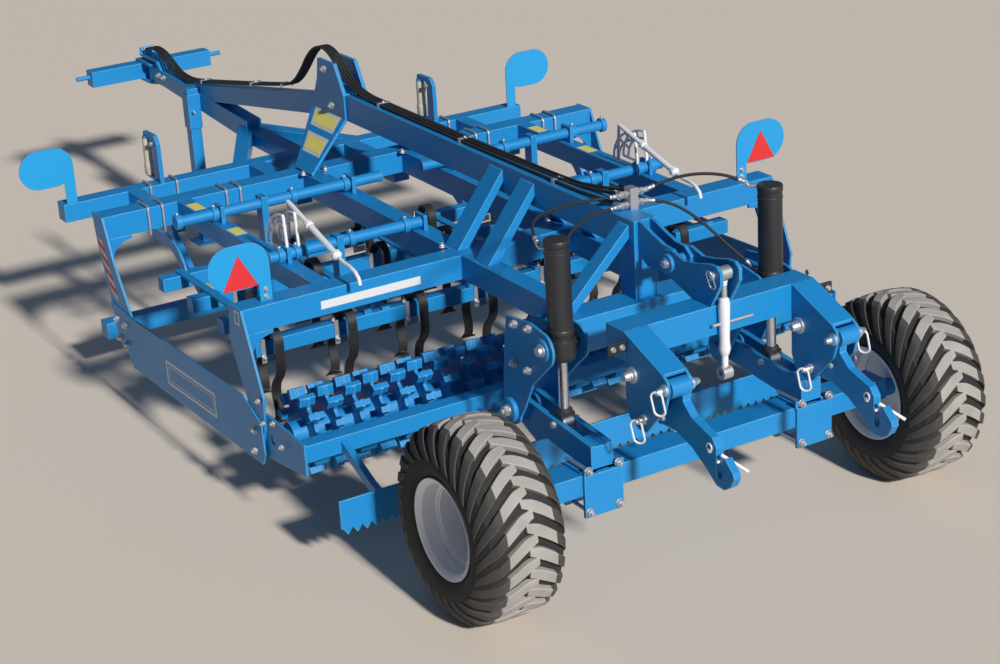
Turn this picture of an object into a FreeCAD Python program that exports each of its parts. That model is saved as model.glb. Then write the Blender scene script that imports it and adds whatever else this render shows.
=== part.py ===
import FreeCAD, Part
import math
import os
import re
import Sketcher
from FreeCAD import Rotation, Vector

# Trailed seedbed cultivator, 3 m wide, with a swinging transport axle, a rear seed drill hitch
# and a drawbar for a tractor's lower links. X points right, Y forward, Z up.
# The origin is on the ground under the middle of the machine's outer box.
# Distances along Y in this file are counted forward from a datum line just behind the wheel axle,
# which lies at datum_y.

SIZES = {
    # reach of the whole machine, forward and back from the datum line
    "front_reach": 6180, "rear_reach": 715, "half_width": 1500,
    # wheels and axle
    "tyre_radius": 432, "tyre_width": 400, "wheel_x": 1120, "wheel_y": 88,
    "bead_radius": 205, "hub_radius": 70, "stub_radius": 40, "turning_gap": 0.3,
    "axle_depth": 140, "axle_height": 95, "axle_rise": 33, "axle_half": 985,
    "clamp_drop": 98,
    # swing arms of the axle and the pivot that carries them
    "pivot_y": 580, "pivot_z": 620, "pivot_radius": 28, "cheek_thick": 25, "cheek_spread": 42,
    "arm_height": 116, "swing_gap": 1.5,
    # lift cylinders
    "cylinder_x": 555, "trunnion_y": 300, "trunnion_z": 985, "barrel_radius": 55,
    "barrel_top": 1459, "barrel_foot": 925, "rod_radius": 22.5, "rod_pin_y": 300,
    "rod_pin_z": 634, "eye_gap": 17, "rod_pin_radius": 12, "eye_radius": 40, "trunnion_radius": 20,
    # chassis cheeks that carry arms and cylinders
    "plate": 12, "plate_spread": 87, "tube_y": 500, "tube_z": 940, "tube_size": 160,
    "lobe_radius": 78,
    # main frame
    "beam": 120, "frame_top": 1010, "rear_beam_y": 1545, "middle_beam_y": 3217,
    "front_beam_y": 3913, "front_beam": 100, "front_beam_top": 888, "front_beam_half": 1445,
    "gusset": 140, "gusset_plate": 14,
    "rail_width": 80, "rail_height": 100, "side_rail_x": 1035,
    "centre_rail_x": 300, "centre_rail_width": 100, "front_rail_height": 90,
    # backbone, tower and struts above the frame
    "backbone_width": 120, "backbone_height": 140, "backbone_top": 1380,
    "backbone_rear": 460, "tower_y": 3360, "tower_top": 1535, "tower_depth": 400,
    "leg_plate": 14, "leg_foot_x": 335, "leg_foot_y": 3162, "leg_foot_depth": 200,
    "strut_depth": 120, "strut_thick": 60, "strut_front_y": 1610, "strut_middle_y": 1330,
    # drawbar, its crossbar and the parking stand
    "drawbar_width": 100, "drawbar_height": 120, "drawbar_fork_y": 4600, "drawbar_fork_z": 872,
    "hitch_z": 940, "swivel_back": 185, "nose_radius": 52, "swivel_radius": 20,
    "crossbar": 100, "crossbar_half": 412.5, "link_pin_radius": 14.2, "link_pin_length": 88,
    "drawbar_leg_x": 360, "drawbar_leg_width": 90,
    "stand_y": 5250, "stand_tube": 70, "stand_top": 1000, "foot": 160,
    "foot_thick": 12, "sleeve_wall": 6, "sleeve_low": 750, "sleeve_high": 965, "slide_gap": 0.5,
    # top beam from the tower to the drawbar
    "top_beam_front": 5480, "top_beam_height": 115, "top_beam_width": 90,
    # seed drill hitch at the back
    "hitch_beam": 130, "hitch_beam_y": -15, "hitch_beam_top": 1148, "hitch_inner_x": 376,
    "hitch_outer_x": 484, "hook_x": 402, "hook_thick": 36,
    "hitch_pin_y": -362, "hitch_pin_z": 985, "hitch_pin_radius": 18,
    "stay_pin_y": -210, "stay_pin_z": 805, "stay_pin_radius": 14,
    "mast_x": 48, "mast_plate": 16, "top_link_y": -100, "top_link_z": 1292,
    "top_link_low": 848, "handle_z": 1070,
    # side plates and panels
    "panel": 8, "panel_low": 264, "panel_high": 560,
    # rear roller and what carries it
    "roller_y": 1290, "roller_z": 450, "roller_radius": 200, "roller_half": 1400,
    "roller_tube": 60, "ring_step": 115, "ring_width": 40, "ring_count": 24,
    "journal_radius": 25, "roller_beam": 80, "roller_beam_y": 1015, "roller_beam_z": 487,
    # levelling board behind the roller and bar in front of the tines
    "board_y": 660, "board_low": 225, "board_high": 390, "board_half": 1480,
    "tooth_pitch": 46, "tooth_height": 32, "bar_y": 3450, "bar_z": 300, "bar_size": 90,
    "bar_half": 1450, "damper_x": 868, "damper_y": 4030, "damper_top": 1125, "damper_radius": 26,
    # tine frame and tines
    "tine_bar": 70, "tine_bar_z": 720, "tine_bar_half": 1350, "tine_bar_rear": 1715,
    "tine_bar_step": 362, "tine_width": 45, "tine_thick": 10, "tine_step": 380,
    "point_width": 90,
    # depth shafts
    "shaft_radius": 28, "front_shaft_y": 2702, "front_shaft_z": 1058,
    "rear_shaft_y": 1951, "rear_shaft_z": 1045,
    # hose manifold
    "valve_x": 40, "valve_y": 620, "valve_low": 1400, "valve_high": 1450, "valve_half": 70,
    "valve_radius": 12,
    # round marker boards
    "marker_width": 300, "marker_height": 212, "marker_thick": 6, "marker_reach": 1660,
    "rear_marker_reach": 1605, "rear_marker_top": 1300, "front_marker_top": 1208,
}
# sizes that follow from others
DERIVED = {
    "datum_y": "(rear_reach - front_reach) / 2",
    "swivel_y": "front_reach - swivel_back",
    "axle_z": "tyre_radius + axle_rise",
}

doc = FreeCAD.newDocument("SeedbedCultivator")
sheet = doc.addObject("Spreadsheet::Sheet", "Sizes")
CELLS = {alias: str(value) for alias, value in SIZES.items()}
CELLS.update({alias: f"={formula}" for alias, formula in DERIVED.items()})
for row, (alias, content) in enumerate(CELLS.items(), start=1):
    sheet.set(f"A{row}", alias)
    sheet.set(f"B{row}", content)
    sheet.setAlias(f"B{row}", alias)
doc.recompute()

WORD = re.compile(r"\b(?!(?:sin|cos|tan|sqrt|hypot|atan)\b)[a-z][a-z_]*\b")
NODES = {}


def cells(text):
    """Write an expression with the sheet's name before each alias."""
    return WORD.sub(lambda found: "Sizes." + found.group(0), str(text))


def size(text):
    """The present value of an expression in the sheet's aliases."""
    values = {alias: sheet.get(alias) for alias in CELLS}
    total = FreeCAD.Units.Quantity(WORD.sub(lambda found: f"({values[found.group(0)]})", str(text)))
    return total.Value


def bind(thing, prop, text):
    thing.setExpression(prop, cells(text))


def place(thing, x_text, y_text, z_text):
    """Bind a thing's place; y is counted forward from the datum line."""
    bind(thing, "Placement.Base.x", x_text)
    bind(thing, "Placement.Base.y", f"{y_text} + datum_y")
    bind(thing, "Placement.Base.z", z_text)


def block(name, x_low, x_high, y_low, y_high, z_low, z_high):
    """A block between two limits on each axis."""
    thing = doc.addObject("Part::Box", name)
    bind(thing, "Length", f"({x_high}) - ({x_low})")
    bind(thing, "Width", f"({y_high}) - ({y_low})")
    bind(thing, "Height", f"({z_high}) - ({z_low})")
    place(thing, x_low, y_low, z_low)
    return thing


TURNS = {
    "x": Rotation(Vector(0, 1, 0), 90),
    "y": Rotation(Vector(1, 0, 0), -90),
    "z": Rotation(),
}


def bar(name, axis, radius, low, high, first, second):
    """A round bar along an axis from low to high; first and second are its other two coordinates."""
    thing = doc.addObject("Part::Cylinder", name)
    bind(thing, "Radius", radius)
    bind(thing, "Height", f"({high}) - ({low})")
    thing.Placement.Rotation = TURNS[axis]
    if axis == "x":
        place(thing, low, first, second)
    elif axis == "y":
        place(thing, first, low, second)
    else:
        place(thing, first, second, low)
    return thing


def outline_sketch(body, name, plane, points):
    """A closed sketch of straight edges whose corners are bound to expressions."""
    sketch = body.newObject("Sketcher::SketchObject", name)
    origin = [part for part in body.Origin.OriginFeatures if part.Role == plane][0]
    sketch.AttachmentSupport = (origin, [""])
    sketch.MapMode = "FlatFace"
    corners = [Vector(size(across), size(up), 0) for across, up in points]
    for start, end in zip(corners, corners[1:] + corners[:1]):
        sketch.addGeometry(Part.LineSegment(start, end), False)
    count = len(points)
    for index in range(count):
        sketch.addConstraint(Sketcher.Constraint("Coincident", index, 2, (index + 1) % count, 1))
    for index, (across, up) in enumerate(points):
        corner = corners[index]
        for kind, value, text in (("DistanceX", corner.x, across), ("DistanceY", corner.y, up)):
            number = sketch.addConstraint(Sketcher.Constraint(kind, -1, 1, index, 1, value))
            sketch.renameConstraint(number, f"{kind}_{index}")
            bind(sketch, f"Constraints.{kind}_{index}", text)
    return sketch


def side_plate(name, points, x_low, x_high):
    """A plate or tube seen from the side: its outline lists (y, z) corners."""
    body = doc.addObject("PartDesign::Body", name)
    sketch = outline_sketch(body, name + "_sketch", "YZ_Plane", points)
    pad = body.newObject("PartDesign::Pad", name + "_pad")
    pad.Profile = sketch
    bind(pad, "Length", f"({x_high}) - ({x_low})")
    sketch.Visibility = False
    place(body, x_low, "0", "0")
    return body


def cross_plate(name, points, y_low, y_high):
    """A plate or tube seen from behind: its outline lists (x, z) corners."""
    body = doc.addObject("PartDesign::Body", name)
    sketch = outline_sketch(body, name + "_sketch", "XZ_Plane", points)
    pad = body.newObject("PartDesign::Pad", name + "_pad")
    pad.Profile = sketch
    bind(pad, "Length", f"({y_high}) - ({y_low})")
    place(body, "0", y_high, "0")
    return body


def plan_plate(name, points, z_low, z_high):
    """A plate or tube seen from above: its outline lists (x, y) corners."""
    body = doc.addObject("PartDesign::Body", name)
    sketch = outline_sketch(body, name + "_sketch", "XY_Plane", points)
    pad = body.newObject("PartDesign::Pad", name + "_pad")
    pad.Profile = sketch
    bind(pad, "Length", f"({z_high}) - ({z_low})")
    place(body, "0", "0", z_low)
    return body


def turned(name, points, x_text, y_text, z_text):
    """A piece turned about the X direction: its outline lists (x, radius) corners."""
    body = doc.addObject("PartDesign::Body", name)
    sketch = outline_sketch(body, name + "_sketch", "XZ_Plane", points)
    turn = body.newObject("PartDesign::Revolution", name + "_turn")
    turn.Profile = sketch
    turn.ReferenceAxis = (sketch, ["H_Axis"])
    turn.Angle = 360
    place(body, x_text, y_text, z_text)
    return body


def joined(name, *parts):
    """One solid made of parts that touch or run into each other."""
    thing = doc.addObject("Part::MultiFuse", name)
    thing.Shapes = list(parts)
    thing.Refine = True
    return thing


def less(name, base, *tools):
    """A base with tools cut away."""
    thing = doc.addObject("Part::Cut", name)
    thing.Base = base
    thing.Tool = tools[0] if len(tools) == 1 else group(name + "_tools", *tools)
    return thing


def group(name, *parts):
    """Like pieces on one body that stay separate solids."""
    thing = doc.addObject("Part::Compound", name)
    thing.Links = list(parts)
    return thing


def shaped(name, shape):
    """A piece whose shape is set by Part's functions, in coordinates counted from the axle."""
    thing = doc.addObject("Part::Feature", name)
    thing.Shape = shape
    shift = FreeCAD.Placement(Vector(0, size("datum_y"), 0), Rotation())
    thing.Placement = shift.multiply(shape.Placement)
    return thing


def node(label, thing):
    """Give a sub-part its label, which names its file."""
    thing.Label = label
    NODES[label] = thing


def bent_strip(start, heading, steps, thickness, width):
    """A flat bar bent in the side view. Steps are ("run", length) or ("turn", radius, degrees)."""
    place_now = start
    angle = math.radians(heading)
    sides = {1: [], -1: []}
    for step in steps:
        along = Vector(0, math.cos(angle), math.sin(angle))
        left = Vector(0, -math.sin(angle), math.cos(angle))
        if step[0] == "run":
            end = place_now + along * step[1]
            for side, edges in sides.items():
                shift = left * (side * thickness / 2)
                edges.append(Part.LineSegment(place_now + shift, end + shift).toShape())
            place_now = end
            continue
        radius, sweep = step[1], math.radians(step[2])
        hand = 1 if sweep > 0 else -1
        centre = place_now + left * (hand * radius)
        for side, edges in sides.items():
            reach = radius - hand * side * thickness / 2
            dots = []
            for share in (0, 0.5, 1):
                turned_by = angle + sweep * share
                normal = Vector(0, -math.sin(turned_by), math.cos(turned_by))
                dots.append(centre - normal * (hand * reach))
            edges.append(Part.Arc(*dots).toShape())
        angle += sweep
        normal = Vector(0, -math.sin(angle), math.cos(angle))
        place_now = centre - normal * (hand * radius)
    first, last = sides[1], sides[-1]
    caps = []
    for index in (0, -1):
        ends = [edges[index].Vertexes[index].Point for edges in (first, last)]
        caps.append(Part.LineSegment(*ends).toShape())
    wire = Part.Wire(Part.__sortEdges__(first + last + caps))
    strip = Part.Face(wire).extrude(Vector(width, 0, 0))
    strip.translate(Vector(-width / 2, 0, 0))
    return strip


SIDES = {"left": -1, "right": 1}


def mirrored_limits(side, near, far):
    """The low and high x of something between near and far from the middle, on one side."""
    return (near, far) if side > 0 else (f"-({far})", f"-({near})")


# --- Main frame: three cross beams and the rails between them ---

def cross_beam(label, y_text, width, z_low, z_high, half):
    node(label, block(label, f"-({half})", half, f"{y_text} - {width}/2", f"{y_text} + {width}/2",
                      z_low, z_high))


cross_beam("rear_beam", "rear_beam_y", "beam", "frame_top - beam", "frame_top",
           "half_width - plate - panel")
cross_beam("middle_beam", "middle_beam_y", "beam", "frame_top - beam", "frame_top",
           "half_width - plate - panel")
cross_beam("front_beam", "front_beam_y", "front_beam", "front_beam_top - front_beam",
           "front_beam_top", "front_beam_half")

GAPS = {
    "rear": ("tube_y + tube_size/2", "rear_beam_y - beam/2"),
    "field": ("rear_beam_y + beam/2", "middle_beam_y - beam/2"),
    "front": ("middle_beam_y + beam/2", "front_beam_y - front_beam/2"),
}
for word, side in SIDES.items():
    pieces = []
    for gap in ("field", "front"):
        x_low, x_high = mirrored_limits(side, "side_rail_x - rail_width/2",
                                        "side_rail_x + rail_width/2")
        top = "frame_top" if gap == "field" else "front_beam_top"
        height = "rail_height" if gap == "field" else "front_rail_height"
        pieces.append(block(f"side_rail_{word}_{gap}", x_low, x_high, *GAPS[gap],
                            f"{top} - {height}", top))
    node(f"side_rail_{word}", group(f"side_rail_{word}_all", *pieces))
    pieces = []
    for gap in ("rear", "field", "front"):
        x_low, x_high = mirrored_limits(side, "centre_rail_x - centre_rail_width/2",
                                        "centre_rail_x + centre_rail_width/2")
        top = "front_beam_top" if gap == "front" else "frame_top"
        height = "front_rail_height" if gap == "front" else "beam"
        pieces.append(block(f"centre_rail_{word}_{gap}", x_low, x_high, *GAPS[gap],
                            f"{top} - {height}", top))
    node(f"centre_rail_{word}", group(f"centre_rail_{word}_all", *pieces))

# --- Backbone, tower, struts and the rear pillar ---

tower_head = side_plate("tower_head", [
    ("tower_y - tower_depth/2", "backbone_top - backbone_height"),
    ("tower_y - tower_depth/2", "backbone_top"),
    ("tower_y - 110", "tower_top"),
    ("tower_y + 80", "tower_top"),
    ("tower_y + 105", "backbone_top + 40"),
    ("tower_y + tower_depth/2", "backbone_top - backbone_height"),
], "-backbone_width/2 - plate", "backbone_width/2 + plate")
backbone_tube = side_plate("backbone_tube", [
    ("backbone_rear", "backbone_top - backbone_height"),
    ("tower_y - tower_depth/2", "backbone_top - backbone_height"),
    ("tower_y - tower_depth/2", "backbone_top"),
    ("backbone_rear", "backbone_top"),
], "-backbone_width/2", "backbone_width/2")
node("backbone", backbone_tube)


def tower_leg(side):
    """A flat leg bent outward from the tower's head and narrowing down to the middle beam."""
    head_x = side * size("backbone_width/2")
    foot_x = side * size("leg_foot_x")
    head_y, foot_y = size("tower_y - tower_depth/2"), size("leg_foot_y")
    head_z, foot_z = size("backbone_top - backbone_height"), size("frame_top")
    outline = [Vector(head_x, head_y, head_z), Vector(head_x, head_y + size("tower_depth"), head_z),
               Vector(foot_x, foot_y + size("leg_foot_depth / 2"), foot_z),
               Vector(foot_x, foot_y - size("leg_foot_depth / 2"), foot_z)]
    outward = Vector(side * (head_z - foot_z), 0, abs(foot_x - head_x)).normalize()
    face = Part.Face(Part.makePolygon(outline + outline[:1]))
    return face.extrude(outward * size("leg_plate"))


legs = [shaped(f"tower_leg_{word}", tower_leg(side)) for word, side in SIDES.items()]
slot = block("tower_slot", "-backbone_width/2 + 8", "backbone_width/2 - 8",
             "tower_y - tower_depth", "tower_y + tower_depth", "backbone_top + 5",
             "tower_top + 20")
node("tower", joined("tower_all", less("tower_head_slotted", tower_head, slot), *legs))


def strut(name, side, y_text, foot_x, foot_z, depth):
    """A flat strut in a cross plane from the backbone's flank down to the frame's top."""
    flank = "backbone_width/2"
    mark = "" if side > 0 else "-1 * "
    points = [
        (f"{mark}({flank})", "backbone_top - 25 - strut_thick"),
        (f"{mark}({flank})", "backbone_top - 25"),
        (f"{mark}({foot_x} + strut_thick/2)", foot_z),
        (f"{mark}({foot_x} - strut_thick/2)", foot_z),
    ]
    return cross_plate(name, points, f"{y_text} - {depth}/2", f"{y_text} + {depth}/2")


struts = []
for word, side in SIDES.items():
    struts.append(strut(f"strut_front_{word}", side, "strut_front_y", "centre_rail_x",
                        "frame_top", "strut_depth"))
    struts.append(strut(f"strut_middle_{word}", side, "strut_middle_y", "centre_rail_x",
                        "frame_top", "strut_depth"))
    struts.append(strut(f"strut_rear_{word}", side, "(tube_y + 40)", "(centre_rail_x + 80)",
                        "tube_z + tube_size/2", "80"))
node("struts", group("struts_all", *struts))

node("rear_pillar", block("rear_pillar_box", "-backbone_width/2", "backbone_width/2",
                          "backbone_rear", "tube_y + tube_size/2", "tube_z + tube_size/2",
                          "backbone_top - backbone_height"))

top_beam_tube = side_plate("top_beam_tube", [
    ("tower_y + 100", "backbone_top - 60 - top_beam_height"),
    ("top_beam_front - 330", "hitch_z - 10"),
    ("top_beam_front", "hitch_z + 5"),
    ("top_beam_front", "hitch_z + 30"),
    ("tower_y + 100", "backbone_top - 60"),
], "-top_beam_width/2", "top_beam_width/2")

# --- Drawbar with its nose, legs and stand sleeve ---

drawbar_tube = side_plate("drawbar_tube", [
    ("drawbar_fork_y - 60", "drawbar_fork_z - drawbar_height/2"),
    ("swivel_y - nose_radius - 160", "hitch_z - crossbar/2 + 1"),
    ("swivel_y - nose_radius + 15", "hitch_z - crossbar/2 + 1"),
    ("swivel_y - nose_radius + 15", "hitch_z + crossbar/2 - 1"),
    ("swivel_y - nose_radius - 160", "hitch_z + crossbar/2 - 1"),
    ("drawbar_fork_y - 60", "drawbar_fork_z + drawbar_height/2"),
], "-drawbar_width/2", "drawbar_width/2")
node("top_beam", less("top_beam_mitred", top_beam_tube, drawbar_tube, tower_head))
nose = bar("drawbar_nose", "z", "nose_radius", "hitch_z - crossbar/2 + slide_gap",
           "hitch_z + crossbar/2 - slide_gap", "0", "swivel_y")
bore = bar("drawbar_nose_bore", "z", "swivel_radius + turning_gap", "hitch_z - crossbar",
           "hitch_z + crossbar", "0", "swivel_y")
leg_low = "front_beam_top - front_rail_height"
drawbar_legs = []
for word, side in SIDES.items():
    mark = "" if side > 0 else "-1 * "
    drawbar_legs.append(plan_plate(f"drawbar_leg_{word}", [
        (f"{mark}(drawbar_leg_x + drawbar_leg_width/2)", "front_beam_y + front_beam/2"),
        (f"{mark}(drawbar_leg_x - drawbar_leg_width/2)", "front_beam_y + front_beam/2"),
        (f"{mark}(-10)", "drawbar_fork_y - 20"),
        (f"{mark}(drawbar_width/2)", "drawbar_fork_y + 60"),
    ], leg_low, "front_beam_top - 5"))
middle_leg = block("drawbar_middle_leg", "-drawbar_width/2", "drawbar_width/2",
                   "front_beam_y + front_beam/2", "drawbar_fork_y", leg_low, "front_beam_top - 5")
sleeve_outer = "stand_tube/2 + slide_gap + sleeve_wall"
sleeve = block("stand_sleeve_outer", "-drawbar_width/2 - stand_tube - 2*sleeve_wall - 2*slide_gap",
               "-drawbar_width/2", f"stand_y - ({sleeve_outer})", f"stand_y + ({sleeve_outer})",
               "sleeve_low", "sleeve_high")
stand_middle = "(-drawbar_width/2 - stand_tube/2 - sleeve_wall - slide_gap)"
sleeve_hole = block("stand_sleeve_hole", f"{stand_middle} - stand_tube/2 - slide_gap",
                    f"{stand_middle} + stand_tube/2 + slide_gap",
                    "stand_y - stand_tube/2 - slide_gap", "stand_y + stand_tube/2 + slide_gap",
                    "sleeve_low - 10", "sleeve_high + 10")
hose_holder = side_plate("hose_holder", [
    ("swivel_y - 190", "hitch_z + crossbar/2 - 10"), ("swivel_y - 120", "hitch_z + crossbar/2 - 10"),
    ("swivel_y - 100", "hitch_z + 88"), ("front_reach - 34", "hitch_z + 88"),
    ("front_reach - 34", "hitch_z + 140"), ("front_reach - 42", "hitch_z + 140"),
    ("front_reach - 42", "hitch_z + 98"), ("swivel_y - 130", "hitch_z + 98"),
], "-50", "50")
drawbar_solid = joined("drawbar_solid", drawbar_tube, nose, middle_leg, sleeve, hose_holder,
                       *drawbar_legs)
drawbar_bored = less("drawbar_bored", drawbar_solid, bore, sleeve_hole)
node("drawbar", drawbar_bored)

stand_tube = block("stand_tube_block", f"{stand_middle} - stand_tube/2",
                   f"{stand_middle} + stand_tube/2", "stand_y - stand_tube/2",
                   "stand_y + stand_tube/2", "foot_thick", "stand_top")
stand_foot = block("stand_foot", f"{stand_middle} - foot/2", f"{stand_middle} + foot/2",
                   "stand_y - foot/2", "stand_y + foot/2", "0", "foot_thick")
node("parking_stand", joined("parking_stand_all", stand_tube, stand_foot))

# --- Crossbar that a tractor's lower links carry, turning on the drawbar's nose ---

crossbar_y = "(front_reach - crossbar/2)"
crossbar_tube = block("crossbar_tube", "-crossbar_half", "crossbar_half",
                      f"{crossbar_y} - crossbar/2", f"{crossbar_y} + crossbar/2",
                      "hitch_z - crossbar/2", "hitch_z + crossbar/2")
fork = []
for word, low in (("lower", "hitch_z - crossbar/2 - 15"), ("upper", "hitch_z + crossbar/2")):
    fork.append(block(f"fork_{word}", "-70", "70", "swivel_y", f"{crossbar_y} + crossbar/2",
                      low, f"{low} + 15"))
    fork.append(bar(f"fork_end_{word}", "z", "70", low, f"{low} + 15", "0", "swivel_y"))
swivel_pin = bar("swivel_pin", "z", "swivel_radius", "hitch_z - crossbar/2 - 30",
                 "hitch_z + crossbar/2 + 30", "0", "swivel_y")
link_pins = bar("link_pins", "x", "link_pin_radius", "-crossbar_half - link_pin_length",
                "crossbar_half + link_pin_length", crossbar_y, "hitch_z + 10")
node("hitch_crossbar", joined("hitch_crossbar_all", crossbar_tube, swivel_pin, link_pins, *fork))

# --- Rear cross tube and the chassis cheeks that carry arms and cylinders ---

cheek_outer = "(cylinder_x + plate_spread)"
cheek_inner = "(cylinder_x - plate_spread)"
node("cross_tube", block("cross_tube_box", f"-({cheek_outer} - plate/2)",
                         f"{cheek_outer} - plate/2", "tube_y - tube_size/2",
                         "tube_y + tube_size/2", "tube_z - tube_size/2", "tube_z + tube_size/2"))

CHEEK = [
    ("trunnion_y - 40", "trunnion_z - 67"),
    ("pivot_y - 182", "pivot_z + 173"),
    ("pivot_y - 109", "pivot_z + 43"),
    ("pivot_y - 65", "pivot_z - 20"),
    ("pivot_y + 65", "pivot_z - 20"),
    ("tube_y + tube_size/2 + 55", "tube_z - 150"),
    ("tube_y + tube_size/2 + 10", "tube_z + tube_size/2 + 35"),
    ("tube_y - 105", "tube_z + tube_size/2 + 58"),
    ("trunnion_y", "trunnion_z + lobe_radius"),
]
for word, side in SIDES.items():
    cheeks = []
    for kind, middle in (("outer", cheek_outer), ("inner", cheek_inner)):
        x_low, x_high = mirrored_limits(side, f"{middle} - plate/2", f"{middle} + plate/2")
        cheek = joined(
            f"cheek_{kind}_{word}_full",
            side_plate(f"cheek_{kind}_{word}", CHEEK, x_low, x_high),
            bar(f"cheek_{kind}_{word}_knee", "x", "70", x_low, x_high, "pivot_y", "pivot_z"),
            bar(f"cheek_{kind}_{word}_lobe", "x", "lobe_radius", x_low, x_high, "trunnion_y",
                "trunnion_z"))
        holes = [
            bar(f"cheek_{kind}_{word}_pivot_hole", "x", "pivot_radius", f"{x_low} - plate",
                f"{x_high} + plate", "pivot_y", "pivot_z"),
            bar(f"cheek_{kind}_{word}_trunnion_hole", "x", "trunnion_radius + turning_gap",
                f"{x_low} - plate", f"{x_high} + plate", "trunnion_y", "trunnion_z")]
        if kind == "inner":
            holes.append(block(f"cheek_{kind}_{word}_tube_hole", f"{x_low} - plate",
                               f"{x_high} + plate", "tube_y - tube_size/2",
                               "tube_y + tube_size/2", "tube_z - tube_size/2",
                               "tube_z + tube_size/2"))
        cheeks.append(less(f"cheek_{kind}_{word}_cut", cheek, *holes))
    x_low, x_high = mirrored_limits(side, f"{cheek_inner} - plate/2 - 20",
                                    f"{cheek_outer} + plate/2 + 20")
    pin = bar(f"pivot_pin_{word}", "x", "pivot_radius", x_low, x_high, "pivot_y", "pivot_z")
    node(f"chassis_cheeks_{word}", joined(f"chassis_cheeks_{word}_all", pin, *cheeks))

# --- Swing axle: arms, axle beam with its clamps and stub axles ---

axle_rear = "(wheel_y - axle_depth/2)"
axle_front = "(wheel_y + axle_depth/2)"
axle_low = "(axle_z - axle_height/2)"
axle_high = "(axle_z + axle_height/2)"
ARM = [
    (axle_rear, axle_high),
    ("pivot_y - 40", "pivot_z - arm_height/2"),
    ("pivot_y", "pivot_z - arm_height/2"),
    ("pivot_y", "pivot_z + arm_height/2"),
    (axle_rear, f"{axle_high} + arm_height"),
]
for word, side in SIDES.items():
    pieces = []
    for kind, middle in (("outer", "(cylinder_x + cheek_spread)"),
                         ("inner", "(cylinder_x - cheek_spread)")):
        x_low, x_high = mirrored_limits(side, f"{middle} - cheek_thick/2",
                                        f"{middle} + cheek_thick/2")
        pieces.append(side_plate(f"arm_{kind}_{word}", ARM, x_low, x_high))
        pieces.append(bar(f"arm_{kind}_{word}_end", "x", "arm_height/2", x_low, x_high,
                          "pivot_y", "pivot_z"))
    x_low, x_high = mirrored_limits(
        side, f"{cheek_inner} + plate/2 + swing_gap", f"{cheek_outer} - plate/2 - swing_gap")
    pieces.append(bar(f"arm_bush_{word}", "x", "pivot_radius + 14", x_low, x_high,
                      "pivot_y", "pivot_z"))
    x_low, x_high = mirrored_limits(side, "cylinder_x - cheek_spread",
                                    "cylinder_x + cheek_spread")
    pieces.append(block(f"arm_block_{word}", x_low, x_high, axle_rear, f"{axle_front} - 20",
                        f"{axle_high} + 4", f"{axle_high} + arm_height - 4"))
    pieces.append(bar(f"arm_rod_pin_{word}", "x", "rod_pin_radius", x_low, x_high,
                      "rod_pin_y", "rod_pin_z"))
    tool = bar(f"arm_bore_{word}", "x", "pivot_radius + turning_gap",
               f"{x_low} - 200", f"{x_high} + 200", "pivot_y", "pivot_z")
    node(f"axle_arm_{word}", less(f"axle_arm_{word}_bored",
                                  joined(f"axle_arm_{word}_solid", *pieces), tool))

clamps = []
for word, side in SIDES.items():
    x_low, x_high = mirrored_limits(side, "cylinder_x - 90", "cylinder_x + 103")
    clamps.append(block(f"clamp_rear_{word}", x_low, x_high, f"{axle_rear} - 16", axle_rear,
                        f"{axle_low} - clamp_drop", axle_high))
    clamps.append(block(f"clamp_front_{word}", x_low, x_high, axle_front, f"{axle_front} + 16",
                        f"{axle_low} - clamp_drop", axle_high))
axle_tube = block("axle_tube", "-axle_half", "axle_half", axle_rear, axle_front, axle_low,
                  axle_high)
stub = bar("stub_axles", "x", "stub_radius", "-wheel_x - 15", "wheel_x + 15", "wheel_y",
           "tyre_radius")
node("axle_beam", joined("axle_beam_all", axle_tube, stub, *clamps))

# --- Lift cylinders ---

for word, side in SIDES.items():
    centre = "cylinder_x" if side > 0 else "-cylinder_x"
    tube = bar(f"barrel_{word}_tube", "z", "barrel_radius", "barrel_foot", "barrel_top",
               centre, "trunnion_y")
    collar = bar(f"barrel_{word}_collar", "z", "barrel_radius + 9", "trunnion_z - 32",
                 "trunnion_z + 32", centre, "trunnion_y")
    x_low, x_high = mirrored_limits(side, f"{cheek_inner} - plate/2 - 4",
                                    f"{cheek_outer} + plate/2 + 4")
    axle_pin = bar(f"barrel_{word}_trunnion", "x", "trunnion_radius", x_low, x_high,
                   "trunnion_y", "trunnion_z")
    cavity = bar(f"barrel_{word}_cavity", "z", "rod_radius + turning_gap", "barrel_foot - 10",
                 "barrel_top - 20", centre, "trunnion_y")
    node(f"cylinder_barrel_{word}", less(f"cylinder_barrel_{word}_bored",
                                         joined(f"barrel_{word}_solid", tube, collar, axle_pin),
                                         cavity))
    shaft = bar(f"rod_{word}_shaft", "z", "rod_radius", "rod_pin_z + 20",
                "barrel_top - 190", centre, "trunnion_y")
    x_low, x_high = mirrored_limits(side, "cylinder_x - 26", "cylinder_x + 26")
    eye = bar(f"rod_{word}_eye", "x", "eye_radius", x_low, x_high, "rod_pin_y", "rod_pin_z")
    eye_bore = bar(f"rod_{word}_eye_bore", "x", "rod_pin_radius + eye_gap", f"{x_low} - 10",
                   f"{x_high} + 10", "rod_pin_y", "rod_pin_z")
    node(f"cylinder_rod_{word}", less(f"cylinder_rod_{word}_bored",
                                      joined(f"rod_{word}_solid", shaft, eye), eye_bore))

# --- Wheels ---

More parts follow.
